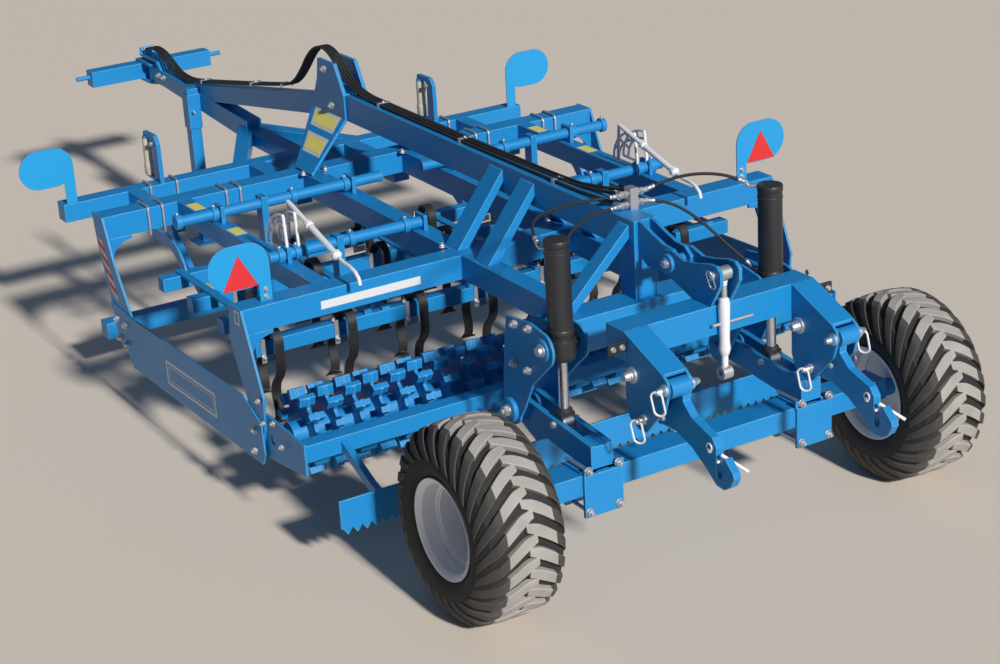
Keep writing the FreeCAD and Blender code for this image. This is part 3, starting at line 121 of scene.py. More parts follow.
class GroupMaker:
    """Builds a shader node group with named sockets."""

    def __init__(self, name: str) -> None:
        """Start an empty group."""
        self.tree = bpy.data.node_groups.new(name, "ShaderNodeTree")

    def sockets(self, inputs: dict[str, object], outputs: dict[str, str]) -> tuple:
        """Add the group's named sockets.

        Args:
            inputs: each input's default, a colour or a number.
            outputs: each output's kind, which is Color, Float or Vector.

        Returns:
            The sockets to read inside the group, and those to write.
        """
        inlet = self.tree.nodes.new("NodeGroupInput")
        outlet = self.tree.nodes.new("NodeGroupOutput")
        for name, value in inputs.items():
            kind = "Float" if isinstance(value, float) else "Color"
            made = self.tree.interface.new_socket(name=name, in_out="INPUT",
                                                  socket_type=f"NodeSocket{kind}")
            made.default_value = value
        for name, kind in outputs.items():
            self.tree.interface.new_socket(name=name, in_out="OUTPUT",
                                           socket_type=f"NodeSocket{kind}")
        return inlet.outputs, outlet.inputs

    def node(self, kind: str, **settings: object) -> bpy.types.Node:
        """Add a node of the given kind with its settings."""
        made = self.tree.nodes.new(f"ShaderNode{kind}")
        for name, value in settings.items():
            setattr(made, name, value)
        return made

    def feed(self, source: object, target: bpy.types.NodeSocket) -> None:
        """Join a socket to an input, or write a plain value into it."""
        if isinstance(source, bpy.types.NodeSocket):
            self.tree.links.new(source, target)
        else:
            target.default_value = source

    def math(self, operation: str, first: object, second: object = 0.0) -> bpy.types.NodeSocket:
        """A math node on sockets or numbers.

        Args:
            operation: Blender's name for it, such as MULTIPLY.
            first: a socket or a number.
            second: a socket or a number.

        Returns:
            The node's output socket.
        """
        made = self.node("Math", operation=operation, use_clamp=True)
        for value, place in zip((first, second), made.inputs):
            self.feed(value, place)
        return made.outputs[0]

    def noise(self, scale: object, detail: float, rough: float = 0.55) -> bpy.types.NodeSocket:
        """A noise value over object space, at a scale given as a socket or a number."""
        place = self.node("TexCoord").outputs["Object"]
        made = self.node("TexNoise")
        for name, value in (("Vector", place), ("Scale", scale), ("Detail", detail),
                            ("Roughness", rough)):
            self.feed(value, made.inputs[name])
        return made.outputs["Fac"]

    def mix(self, share: object, first: object, second: object) -> bpy.types.NodeSocket:
        """A colour mixed from two, by a share."""
        made = self.node("Mix", data_type="RGBA")
        for name, value in (("Factor_Float", share), ("A_Color", first), ("B_Color", second)):
            self.feed(value, [place for place in made.inputs if place.identifier == name][0])
        return [place for place in made.outputs if place.identifier == "Result_Color"][0]


GREY = (0.5, 0.5, 0.5, 1)


def breakup_group() -> bpy.types.NodeTree:
    """Slow drifts of tone and gloss, as on painted or worn metal."""
    made = GroupMaker("tone_breakup")
    inlet, outlet = made.sockets(
        {"Color": GREY, "Dark": GREY, "Scale": 4.0, "Amount": 0.3, "Roughness": 0.35},
        {"Color": "Color", "Roughness": "Float"})
    wide = made.noise(inlet["Scale"], 3.0)
    fine = made.noise(60.0, 2.0)
    share = made.math("MULTIPLY", wide, inlet["Amount"])
    made.feed(made.mix(share, inlet["Color"], inlet["Dark"]), outlet["Color"])
    drift = made.math("MULTIPLY", made.math("ADD", wide, fine), 0.18)
    made.feed(made.math("ADD", inlet["Roughness"], drift), outlet["Roughness"])
    return made.tree


def edge_group() -> bpy.types.NodeTree:
    """Lighter edges where the surface bends sharply, a painted highlight that partly stands for
    wear, and the rounded normal.
    """
    made = GroupMaker("edge_wear_and_highlight")
    inlet, outlet = made.sockets({"Color": GREY, "Edge": GREY, "Radius": 0.004, "Amount": 0.6},
                                 {"Color": "Color", "Normal": "Vector"})
    bevel = made.node("Bevel", samples=4)
    made.feed(inlet["Radius"], bevel.inputs["Radius"])
    dot = made.node("VectorMath", operation="DOT_PRODUCT")
    made.feed(bevel.outputs[0], dot.inputs[0])
    made.feed(made.node("NewGeometry").outputs["Normal"], dot.inputs[1])
    bend = made.math("SUBTRACT", 1.0, dot.outputs["Value"])
    broken = made.math("MULTIPLY", made.math("MULTIPLY", bend, 5.0),
                       made.math("MULTIPLY", made.noise(22.0, 4.0), 1.6))
    mask = made.math("MULTIPLY", broken, inlet["Amount"])
    # The edge colour mixed in here is a painted highlight along sharp edges, partly wear.
    made.feed(made.mix(mask, inlet["Color"], inlet["Edge"]), outlet["Color"])
    made.feed(bevel.outputs[0], outlet["Normal"])
    return made.tree


def dust_group() -> bpy.types.NodeTree:
    """Pale dust that settles low down and on faces that look up."""
    made = GroupMaker("settled_dust")
    inlet, outlet = made.sockets(
        {"Color": GREY, "Dust": (0.42, 0.38, 0.33, 1), "Height": 0.5, "Amount": 0.3},
        {"Color": "Color"})
    geometry = made.node("NewGeometry")
    place = made.node("SeparateXYZ")
    made.feed(geometry.outputs["Position"], place.inputs[0])
    facing = made.node("SeparateXYZ")
    made.feed(geometry.outputs["Normal"], facing.inputs[0])
    low = made.math("SUBTRACT", 1.0, made.math("DIVIDE", place.outputs["Z"], inlet["Height"]))
    up = made.math("MULTIPLY", facing.outputs["Z"], 0.35)
    patchy = made.math("MULTIPLY", made.math("ADD", low, up), made.noise(9.0, 5.0, 0.65))
    mask = made.math("MULTIPLY", patchy, inlet["Amount"])
    made.feed(made.mix(mask, inlet["Color"], inlet["Dust"]), outlet["Color"])
    return made.tree


# --- Finishes ---


class Grain(Enum):
    """The fine texture that a finish's bump follows, with its scale."""

    ORANGE_PEEL = 220
    RUBBER = 160
    FILM = 90
    BRAID = 380
    BRUSHED = 1


@dataclass(frozen=True)
class Finish:
    """A surface finish, as its colours and how it takes the light."""

    name: str
    slot: str
    color: Triple
    dark: Triple
    # edge: the colour of the painted highlight along sharp edges, partly wear.
    edge: Triple
    roughness: float = 0.35
    metallic: float = 0.0
    coat: float = 0.0
    edge_amount: float = 0.5
    edge_radius: float = 0.004
    tone_amount: float = 0.35
    tone_scale: float = 3.0
    dust: float = 0.2
    grain: Grain = Grain.ORANGE_PEEL
    bump: float = 0.05


FILM = {"edge_amount": 0.1, "grain": Grain.FILM, "bump": 0.01}
PLATED = {"edge_radius": 0.0015, "grain": Grain.BRUSHED, "bump": 0.04}
# BLUE's pale cyan edge colour is a painted highlight on its edges.
BLUE = Finish("azure_paint", "blue_paint", (0.006, 0.245, 0.585), (0.003, 0.165, 0.445),
              (0.14, 0.58, 0.92), roughness=0.3, coat=0.12, edge_amount=0.9, edge_radius=0.008,
              tone_amount=0.5, tone_scale=2.2, dust=0.03)
PALE_BLUE = Finish("board_paint", "blue_paint", (0.005, 0.3, 0.65), (0.004, 0.27, 0.58),
                   (0.15, 0.55, 0.85), roughness=0.4, coat=0.2, dust=0.03)
SILVER = Finish("rim_paint", "rim_silver", (0.8, 0.83, 0.87), (0.62, 0.65, 0.7),
                (0.92, 0.93, 0.95), roughness=0.36, metallic=0.2, coat=0.2, dust=0.12)
TYRE = Finish("tyre_rubber", "tyre", (0.013, 0.013, 0.014), (0.022, 0.021, 0.02),
              (0.05, 0.047, 0.043), roughness=0.62, edge_amount=0.3, edge_radius=0.006, dust=0.14,
              grain=Grain.RUBBER, bump=0.1)
TREAD = Finish("tread_rubber", "tyre", (0.43, 0.41, 0.38), (0.19, 0.18, 0.165),
               (0.64, 0.61, 0.57), roughness=0.8, edge_amount=0.75, edge_radius=0.007,
               tone_amount=0.8, tone_scale=9.0, dust=0.4, grain=Grain.RUBBER, bump=0.25)
SHOULDER = Finish("shoulder_rubber", "tyre", (0.055, 0.052, 0.048), (0.028, 0.026, 0.024),
                  (0.26, 0.247, 0.228), roughness=0.7, edge_amount=0.6, edge_radius=0.006,
                  tone_amount=0.7, tone_scale=9.0, dust=0.22, grain=Grain.RUBBER, bump=0.2)
BLACK = Finish("black_paint", "black_paint", (0.018, 0.018, 0.02), (0.028, 0.028, 0.03),
               (0.16, 0.16, 0.17), roughness=0.33, coat=0.15, dust=0.12)
TINE = Finish("tine_steel", "tine_steel", (0.012, 0.012, 0.014), (0.02, 0.019, 0.018),
              (0.12, 0.12, 0.13), roughness=0.36, dust=0.18)
ZINC = Finish("zinc_plate", "plated_steel", (0.62, 0.63, 0.64), (0.46, 0.47, 0.49),
              (0.86, 0.86, 0.88), roughness=0.3, metallic=0.85, dust=0.05, **PLATED)
WHITE_METAL = Finish("pale_zinc", "plated_steel", (0.84, 0.85, 0.86), (0.7, 0.71, 0.73),
                     (0.94, 0.94, 0.95), roughness=0.38, metallic=0.12, dust=0.04, **PLATED)
CHROME = Finish("hard_chrome", "chrome_rod", (0.76, 0.77, 0.79), (0.66, 0.67, 0.7),
                (0.9, 0.9, 0.92), roughness=0.12, metallic=1.0, tone_amount=0.2, dust=0.0,
                grain=Grain.BRUSHED, bump=0.01)
HOSE = Finish("hose_rubber", "hose_rubber", (0.014, 0.014, 0.015), (0.03, 0.03, 0.032),
              (0.06, 0.06, 0.06), roughness=0.5, edge_amount=0.0, dust=0.12, grain=Grain.BRAID,
              bump=0.08)
YELLOW = Finish("yellow_film", "yellow_film", (0.8, 0.71, 0.17), (0.72, 0.62, 0.13),
                (0.9, 0.85, 0.5), roughness=0.5, dust=0.1, **FILM)
WHITE = Finish("white_film", "white_film", (0.56, 0.6, 0.63), (0.48, 0.53, 0.57),
               (0.64, 0.67, 0.69), roughness=0.45, dust=0.1, **FILM)
# A brighter copy of the white film: painted light for white plates that sit in shade.
SHADE_LIFTED_WHITE = Finish("white_film_painted_light", "white_film", (0.68, 0.7, 0.71), (0.6, 0.62, 0.64),
                      (0.72, 0.74, 0.75), roughness=0.4, dust=0.03, **FILM)
RED = Finish("red_film", "red_film", (0.68, 0.022, 0.027), (0.54, 0.02, 0.022), (0.9, 0.2, 0.15),
             roughness=0.42, dust=0.06, **FILM)
CREAM = Finish("cream_paint", "cream_paint", (0.6, 0.55, 0.42), (0.45, 0.41, 0.31),
               (0.8, 0.78, 0.68), roughness=0.42, dust=0.12)


class PaintShop:
    """Makes each finish's material once, from the shared node groups."""

    coat_roughness = 0.12
    bump_depth = 0.002

    def __init__(self) -> None:
        """Build the shared groups."""
        self.breakup = breakup_group()
        self.edges = edge_group()
        self.dusting = dust_group()
        self.made: dict[str, bpy.types.Material] = {}

    def material(self, finish: Finish) -> bpy.types.Material:
        """The finish's material, which any number of pieces may share."""
        if finish.name not in self.made:
            self.made[finish.name] = self.build(finish)
        return self.made[finish.name]

    def build(self, finish: Finish) -> bpy.types.Material:
        """Make the finish's node tree: tone, then painted edge highlights, then dust, into one
        shader.
        """
        material = bpy.data.materials.new(finish.name)
        material.use_nodes = True
        tree = material.node_tree
        shader = tree.nodes["Principled BSDF"]
        tone = self.group(tree, self.breakup, Color=(*finish.color, 1), Dark=(*finish.dark, 1),
                          Scale=finish.tone_scale, Amount=finish.tone_amount,
                          Roughness=finish.roughness)
        edge = self.group(tree, self.edges, Edge=(*finish.edge, 1), Radius=finish.edge_radius,
                          Amount=finish.edge_amount)
        dust = self.group(tree, self.dusting, Amount=finish.dust)
        bump = tree.nodes.new("ShaderNodeBump")
        for source, target in (
                (tone.outputs["Color"], edge.inputs["Color"]),
                (edge.outputs["Color"], dust.inputs["Color"]),
                (dust.outputs["Color"], shader.inputs["Base Color"]),
                (tone.outputs["Roughness"], shader.inputs["Roughness"]),
                (self.relief(tree, finish.grain), bump.inputs["Height"]),
                (edge.outputs["Normal"], bump.inputs["Normal"]),
                (bump.outputs["Normal"], shader.inputs["Normal"])):
            tree.links.new(source, target)
        for node, name, value in (
                (shader, "Metallic", finish.metallic), (shader, "Coat Weight", finish.coat),
                (shader, "Coat Roughness", self.coat_roughness),
                (bump, "Strength", finish.bump), (bump, "Distance", self.bump_depth)):
            node.inputs[name].default_value = value
        return material

    @staticmethod
    def group(tree: bpy.types.NodeTree, content: bpy.types.NodeTree,
              **settings: object) -> bpy.types.Node:
        """Place a shared group in a material's tree with its settings."""
        made = tree.nodes.new("ShaderNodeGroup")
        made.node_tree = content
        for name, value in settings.items():
            made.inputs[name].default_value = value
        return made

    @staticmethod
    def relief(tree: bpy.types.NodeTree, grain: Grain) -> bpy.types.NodeSocket:
        """The socket with the height that a finish's bump follows."""
        place = tree.nodes.new("ShaderNodeTexCoord").outputs["Object"]
        braided = grain is Grain.BRAID
        made = tree.nodes.new("ShaderNodeTexVoronoi" if braided else "ShaderNodeTexNoise")
        made.inputs["Scale"].default_value = grain.value
        if grain is Grain.BRUSHED:
            stretch = tree.nodes.new("ShaderNodeMapping")
            stretch.inputs["Scale"].default_value = (40, 40, 900)
            tree.links.new(place, stretch.inputs["Vector"])
            place = stretch.outputs["Vector"]
        elif not braided:
            made.inputs["Detail"].default_value = 3
        tree.links.new(place, made.inputs["Vector"])
        return made.outputs["Distance" if braided else "Fac"]


SHOP = PaintShop()


# --- Solids gathered into one mesh for each piece ---


def circle(middle: Vector, across: Vector, beside: Vector, radius: float,
           sides: int) -> list[Vector]:
    """Points evenly round a circle in the plane of two unit vectors."""
    turns = [TURN * index / sides for index in range(sides)]
    return [middle + (across * math.cos(turn) + beside * math.sin(turn)) * radius for turn in turns]


class Shape:
    """Gathers closed solids in one mesh, in metres in the row frame.

    Attributes:
        washer: a washer's thickness as a share of its bolt's thread.
        head: the height of a bolt's head in the same way.
    """

    washer = 0.2
    head = 0.75

    def __init__(self) -> None:
        """Start with nothing."""
        self.mesh = bmesh.new()

    def loft(self, rings: list[list[Vector]], closed: bool = False) -> None:
        """Join equal rings of points one to the next.

        Args:
            rings: the rings in their order.
            closed: the last ring joins the first; both ends are capped otherwise.
        """
        made = [[self.mesh.verts.new(point) for point in ring] for ring in rings]
        for first, second in zip(made, made[1:] + (made[:1] if closed else [])):
            for step in range(len(first)):
                after = (step + 1) % len(first)
                self.mesh.faces.new([first[step], first[after], second[after], second[step]])
        if not closed:
            self.mesh.faces.new(made[0][::-1])
            self.mesh.faces.new(made[-1])

    def block(self, centre: Vector, size: Triple,
              turn: Matrix | None = None, trim: float = 0.1) -> None:
        """Add a block with trimmed upright corners.

        Args:
            centre: its middle.
            size: its full length along each axis.
            turn: a rotation about its middle, or None.
            trim: the corner cut as a share of its smaller side.
        """
        half = [part / 2 for part in size]
        cut = trim * min(half[0], half[1])
        quarter = [(half[0] - cut, half[1]), (half[0], half[1] - cut)]
        outline = [quarter[0], *((-x, y) for x, y in quarter),
                   *((-x, -y) for x, y in quarter[::-1]), *((x, -y) for x, y in quarter),
                   quarter[1]]
        spin = Matrix.Identity(3) if turn is None else turn
        self.loft([[centre + spin @ Vector((x, y, z)) for x, y in outline]
                   for z in (-half[2], half[2])])

    def slab(self, outline: list[Vector], thickness: Vector) -> None:
        """Add a flat plate from its outline, thick along a vector."""
        self.loft([outline, [point + thickness for point in outline]])

    def turned(self, start: Vector, end: Vector, profile: Profile, sides: int = 20) -> None:
        """Add a round solid about the line from start to end.

        Args:
            start: where the profile's share is 0.
            end: where the profile's share is 1.
            profile: pairs of share along the line and radius.
            sides: how many flats make a turn.
        """
        along = end - start
        across = along.orthogonal().normalized()
        beside = along.normalized().cross(across)
        self.loft([circle(start + along * share, across, beside, radius, sides)
                   for share, radius in profile])

    def boss(self, seat: Vector, reach: float, profile: Profile, sides: int = 20) -> None:
        """Add a round solid that stands out from a seat along X by its reach."""
        self.turned(seat, seat + sideways(reach), profile, sides)

    def rod(self, start: Vector, end: Vector, radius: float, sides: int = 16) -> None:
        """Add a round bar with small chamfers on both ends."""
        chamfer = min(0.25 * radius / max((end - start).length, 1e-6), 0.2)
        self.turned(start, end, [(0, radius * 0.8), (chamfer, radius), (1 - chamfer, radius),
                                 (1, radius * 0.8)], sides)

    def tube(self, points: list[Vector], radius: float, sides: int = 10) -> None:
        """Add a bent round bar along points that lie close together."""
        rings = []
        normal = (points[1] - points[0]).orthogonal().normalized()
        for index, point in enumerate(points):
            before = points[max(index - 1, 0)]
            after = points[min(index + 1, len(points) - 1)]
            along = (after - before).normalized()
            normal = (normal - along * normal.dot(along)).normalized()
            rings.append(circle(point, normal, along.cross(normal), radius, sides))
        self.loft(rings)

    def ring(self, centre: Vector, axis: Vector, radius: float, thick: float,
             long: float = 0.0, sides: int = 20) -> None:
        """Add a closed round link, stretched along one direction by long."""
        upright = Vector((0.0, 0.2, 1.0))
        across = (upright - upright.project(axis)).normalized()
        beside = axis.normalized().cross(across)
        points = []
        for index in range(sides):
            angle = TURN * index / sides
            push = across * (long / 2 if math.cos(angle) > 0 else -long / 2)
            points.append(centre + push + (across * math.cos(angle)
                                           + beside * math.sin(angle)) * radius)
        rings = []
        for index, point in enumerate(points):
            along = (points[(index + 1) % sides] - points[index - 1]).normalized()
            out = along.cross(axis).normalized()
            rings.append(circle(point, out, axis.normalized(), thick, 8))
        self.loft(rings, closed=True)

    def bolt(self, seat: Vector, out: Vector, thread: float, stud: float = 0.0) -> None:
        """Add a hexagon head or nut on a washer, with an optional stud end past it.

        Args:
            seat: the middle of the washer's face on the part.
            out: the direction in which the head stands.
            thread: the thread's diameter.
            stud: how far a stud stands past the nut.
        """
        way = out.normalized()
        base = seat + way * thread * self.washer
        top = base + way * thread * self.head
        self.turned(seat, base, [(0, thread * 1.05), (1, thread * 1.05)], 16)
        self.turned(base, top, [(0, thread * 0.95), (0.75, thread * 0.95), (1, thread * 0.78)], 6)
        if stud > 0:
            self.turned(top, top + way * stud, [(0, thread * 0.5), (0.8, thread * 0.5),
                                                (1, thread * 0.38)], 10)

    def u_bolt(self, middle: Vector, across: Vector, down: Vector, radius: float) -> None:
        """Add a square-cornered U-bolt over a beam.

        Args:
            middle: the middle of its bridge.
            across: from the middle to one leg.
            down: the legs' length and direction.
            radius: the bar's radius.
        """
        bend = min(across.length, down.length) * 0.3
        out, low = across.normalized(), down.normalized()
        points = [middle - across + down]
        for hand in (-1, 1):
            corner = middle + across * hand - out * hand * bend + low * bend
            turns = [corner + out * hand * bend * math.cos(a) - low * bend * math.sin(a)
                     for a in (step * math.pi / 8 for step in range(5))]
            points += turns if hand < 0 else turns[::-1]
        points.append(middle + across + down)
        self.tube(points, radius, 8)

    def piece(self, name: str, finish: Finish, body: str = "root",
              smooth: float = 35.0) -> bpy.types.Object:
        """Turn the gathered solids into an object that rides on a body.

        Args:
            name: the object's name.
            finish: its finish.
            body: the CAD body that carries it.
            smooth: edges that bend less than this many degrees shade smoothly.

        Returns:
            The finished object.
        """
        bmesh.ops.recalc_face_normals(self.mesh, faces=self.mesh.faces[:])
        data = bpy.data.meshes.new(name)
        self.mesh.to_mesh(data)
        self.mesh.free()
        made = placed(name, data)
        dress(made, finish)
        data.shade_smooth()
        data.set_sharp_from_angle(angle=math.radians(smooth))
        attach(made, body)
        LOG.info("%s: %d faces on %s", name, len(data.polygons), body)
        return made


def dress(thing: bpy.types.Object, finish: Finish) -> None:
    """Give an object its finish."""
    thing.data.materials.clear()
    thing.data.materials.append(SHOP.material(finish))


def dress_nodes(finishes: dict[str, Finish]) -> None:
    """Give every CAD node its finish.

    Args:
        finishes: the start of a node's name to its finish; blue paint is for the rest.
    """
    for name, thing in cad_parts.items():
        finish = next((found for start, found in finishes.items() if name.startswith(start)), BLUE)
        dress(thing, finish)


# --- Stage ---


@dataclass
class Studio:
    """The floor, the lamps and the camera."""

    floor_half: float = 40.0
    floor_color: Triple = (0.76, 0.67, 0.565)
    sun_strength: float = 4.0
    sun_color: Triple = (1.0, 0.975, 0.94)
    sun_spread: float = 4
    toward_sun: Triple = (0.0, -1.8, 1.0)
    sky_strength: float = 0.16
    sky_color: Triple = (0.46, 0.64, 1.0)
    lens: float = 77.09
    camera_back: Triple = (-4.954, -6.802, 4.389)
    camera_turn: float = 30.03
    camera_pitch: float = 21.73
    camera_roll: float = -3.38

    def build(self) -> None:
        """Make the floor, lamps and camera."""
        self.floor()
        self.lamps()
        self.camera()

    def floor(self) -> None:
        """Lay a plain pale floor that keeps the machine's shadow."""
        half = self.floor_half
        data = bpy.data.meshes.new("floor")
        data.from_pydata([(-half, -half, 0), (half, -half, 0), (half, half, 0), (-half, half, 0)],
                         [], [(0, 1, 2, 3)])
        material = bpy.data.materials.new("floor_paint")
        material.use_nodes = True
        shader = material.node_tree.nodes["Principled BSDF"]
        shader.inputs["Base Color"].default_value = (*self.floor_color, 1)
        shader.inputs["Roughness"].default_value = 0.85
        shader.inputs["Specular IOR Level"].default_value = 0.2
        data.materials.append(material)
        placed("floor", data)

    def lamps(self) -> None:
        """One soft main lamp low behind the machine, and an even dim blue sky."""
        lamp = bpy.data.lights.new("main_lamp", "SUN")
        lamp.energy = self.sun_strength
        lamp.angle = math.radians(self.sun_spread)
        lamp.color = self.sun_color
        sun = placed("main_lamp", lamp)
        sun.rotation_euler = Vector(self.toward_sun).to_track_quat("Z", "Y").to_euler()
        world = bpy.data.worlds.new("studio")
        bpy.context.scene.world = world
        world.use_nodes = True
        back = world.node_tree.nodes["Background"]
        back.inputs["Color"].default_value = (*self.sky_color, 1)
        back.inputs["Strength"].default_value = self.sky_strength

    def camera(self) -> None:
        """Stand the camera behind the machine on its left, looking down along it."""
        turn, pitch, roll = (math.radians(a) for a in
                             (self.camera_turn, self.camera_pitch, self.camera_roll))
        ahead = Vector((math.sin(turn) * math.cos(pitch), math.cos(turn) * math.cos(pitch),
                        -math.sin(pitch)))
        right = Vector((math.cos(turn), -math.sin(turn), 0))
        up = right.cross(ahead)
        level = math.cos(roll) * right + math.sin(roll) * up
        rise = -math.sin(roll) * right + math.cos(roll) * up
        data = bpy.data.cameras.new("camera")
        data.lens = self.lens
        data.sensor_width = 36
        data.clip_end = 200
        place = Matrix((level, rise, -ahead)).transposed().to_4x4()
        place.translation = at(*self.camera_back)
        camera = placed("camera", data)
        camera.matrix_world = place
        bpy.context.scene.camera = camera
        bpy.context.scene.view_settings.view_transform = "Standard"


# --- Hoses ---


def hose_curve(name: str, routes: list[list[Vector]], radius: float) -> bpy.types.Object:
    """Put round smooth tubes into the scene, in one object.

    Args:
        name: the object's name.
        routes: each tube's control points.
        radius: the tubes' radius.

    Returns:
        The curve object.
    """
    data = bpy.data.curves.new(name, "CURVE")
    data.dimensions = "3D"
    data.resolution_u = 6
    data.bevel_depth = radius
    data.bevel_resolution = 3
    data.use_fill_caps = True
    for route in routes:
        spline = data.splines.new("NURBS")
        spline.points.add(len(route) - 1)
        for knot, point in zip(spline.points, route):
            knot.co = (*point, 1)
        spline.order_u = 3
        spline.use_endpoint_u = True
    return placed(name, data)


LIFT_ROUTES = {
    Side.LEFT: [
        [(-.0312, .62, 1.45), (-.15, .615, 1.462), (-.282, .6, 1.475), (-.425, .562, 1.486),
         (-.535, .508, 1.484), (-.588, .44, 1.464), (-.6, .372, 1.425)],
        [(-.0314, .62, 1.4), (-.173, .6, 1.404), (-.288, .56, 1.394), (-.38, .5, 1.362),
         (-.43, .448, 1.3), (-.456, .4, 1.22), (-.47, .366, 1.14)]],
    Side.RIGHT: [
        [(.1135, .62, 1.45), (.203, .59, 1.48), (.282, .535, 1.504), (.361, .475, 1.508),
         (.435, .412, 1.494), (.486, .372, 1.462)],
        [(.1126, .62, 1.4), (.207, .596, 1.386), (.306, .55, 1.318), (.38, .5, 1.236),
         (.436, .447, 1.16), (.48, .408, 1.108), (.515, .372, 1.062)]]}


@dataclass
class Hoses:
    """The hydraulic hoses: four along the frame, and two to each lift cylinder.

    Attributes:
        radius: every hose's radius.
        supply: the places along the frame, as y and z, that the four hoses share.
        ends: each hose's x at the drawbar and at the valve block, and its rise.
        spread_from: the place from which the hoses spread toward the valve block.
    """

    radius: float = 0.007
    supply: tuple[Pair, ...] = (
        (6.134, 1.062), (6.04, 1.098), (5.9, 1.102), (5.77, 1.058), (5.64, 1.003), (5.47, 0.996),
        (5.3, 1.017), (4.05, 1.248), (3.89, 1.292), (3.76, 1.395), (3.66, 1.5), (3.56, 1.566),
        (3.455, 1.582), (3.355, 1.545), (3.27, 1.47), (3.16, 1.415), (3.02, 1.394),
        (2.86, 1.389), (1.06, 1.389), (0.93, 1.391), (0.8, 1.396), (0.72, 1.399), (0.6332, 1.4))
    ends: tuple[Triple, ...] = (
        (-0.0255, -0.01, 0), (-0.0085, 0.005, 0.05), (0.0085, 0.07, 0.05), (0.0255, 0.086, 0))
    spread_from: int = 17

    def build(self) -> None:
        """Make every hose with its end fittings and clips."""
        self.supply_lines()
        for side in Side:
            self.lift_lines(side)
        self.clips()

    def supply_lines(self) -> None:
        """The four hoses from the drawbar's front to the valve block, in one piece."""
        routes = []
        spread = len(self.supply) - 1 - self.spread_from
        for index, (start, end, rise) in enumerate(self.ends):
            route = []
            for number, (y, z) in enumerate(self.supply):
                late = max(0, number - self.spread_from) / spread
                sway = 0.0015 * math.sin(number * 1.7 + index) * (1 - late)
                route.append(at(start + sway + late * (end - start), y, z + rise * late))
            routes.append(route)
        hoses = hose_curve("supply_hoses_rubber", routes, self.radius)
        dress(hoses, HOSE)
        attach(hoses, "root")
        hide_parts("supply_hoses")
        ends = Shape()
        for route in routes:
            self.ferrule(ends, route[0], route[1])
            self.ferrule(ends, route[-1], route[-2])
        ends.piece("supply_hose_ends", ZINC)

    def ferrule(self, shape: Shape, end: Vector, inward: Vector) -> None:
        """A crimped ferrule and its nut on a hose's end."""
        way = (inward - end).normalized()
        shape.turned(end, end + way * 0.012, [(0, 0.0125), (1, 0.0125)], 6)
        shape.turned(end + way * 0.012, end + way * 0.046,
                     [(0, 0.008), (0.1, 0.0105), (0.4, 0.0105), (0.45, 0.0095), (0.55, 0.0095),
                      (0.6, 0.0105), (0.9, 0.0105), (1, 0.0085)], 14)

    def lift_lines(self, side: Side) -> None:
        """The two hoses to one cylinder, with their end fittings; the cylinder end's fitting rides
        on the barrel.
        """
        for index, row in enumerate(LIFT_ROUTES[side]):
            route = [at(*point) for point in row]
            guide = hose_curve("guide", [route], self.radius)
            bpy.context.view_layer.update()
            data = bpy.data.meshes.new_from_object(guide)
            bpy.data.objects.remove(guide)
            name = f"lift_hose_{side.word}_{('upper', 'lower')[index]}"
            hose = placed(name, data)
            data.shade_smooth()
            dress(hose, HOSE)
            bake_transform(hose)
            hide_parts(f"lift_hoses_{side.word}")
            fixed = Shape()
            self.ferrule(fixed, route[0], route[1])
            fixed.piece(f"{name}_valve_end", ZINC)
            moving = Shape()
            self.ferrule(moving, route[-1], route[-2])
            port = at(side.value * CYLINDER_X, CYLINDER_Y, row[-1][2] - 0.012)
            toward = port - route[-1]
            toward.z = 0
            knee = route[-1] - UP * 0.012
            moving.rod(route[-1], knee, 0.009)
            moving.rod(knee, knee + toward * 0.7, 0.0095)
            moving.piece(f"{name}_cylinder_end", ZINC, f"barrel_{side.word}")
            LOG.info("%s follows the cylinder", name)

    def clips(self) -> None:
        """Bright clips that hold the supply hoses to the beams, and the fittings on the valve."""
        clips = Shape()
        for y, z in ((5.2, 1.0363), (4.45, 1.1745), (4.02, 1.2535), (2.84, 1.389), (2.0, 1.389),
                     (1.15, 1.389)):
            middle = at(0, y, z + 0.009)
            clips.block(middle, (0.072, 0.022, 0.004))
            for x in (-0.034, 0.034):
                clips.block(at(x, y, z - 0.001), (0.004, 0.022, 0.02))
            clips.bolt(middle + UP * 0.002, UP, 0.008)
        for z in (1.4, 1.45):
            for x in (-0.012, 0.005, 0.04, 0.07, 0.088):
                clips.boss(at(x - 0.011, 0.62, z), 0.022, [(0, 0.0165), (1, 0.0165)], 6)
        clips.piece("hose_clips", ZINC)


# --- Wheels and roller ---


class Turning:
    """Something round about an axis along X, measured from its CAD node."""

    def measure(self, node: str) -> None:
        """Read the middle, the radius and half the width."""
        low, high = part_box(node)
        self.centre = (low + high) / 2
        self.radius = (high.z - low.z) / 2
        self.half = (high.x - low.x) / 2

    def around(self, x: float, radius: float, angle: float) -> Vector:
        """A point about the axis, at an angle from straight up."""
        return self.centre + Vector((x, radius * math.sin(angle), radius * math.cos(angle)))


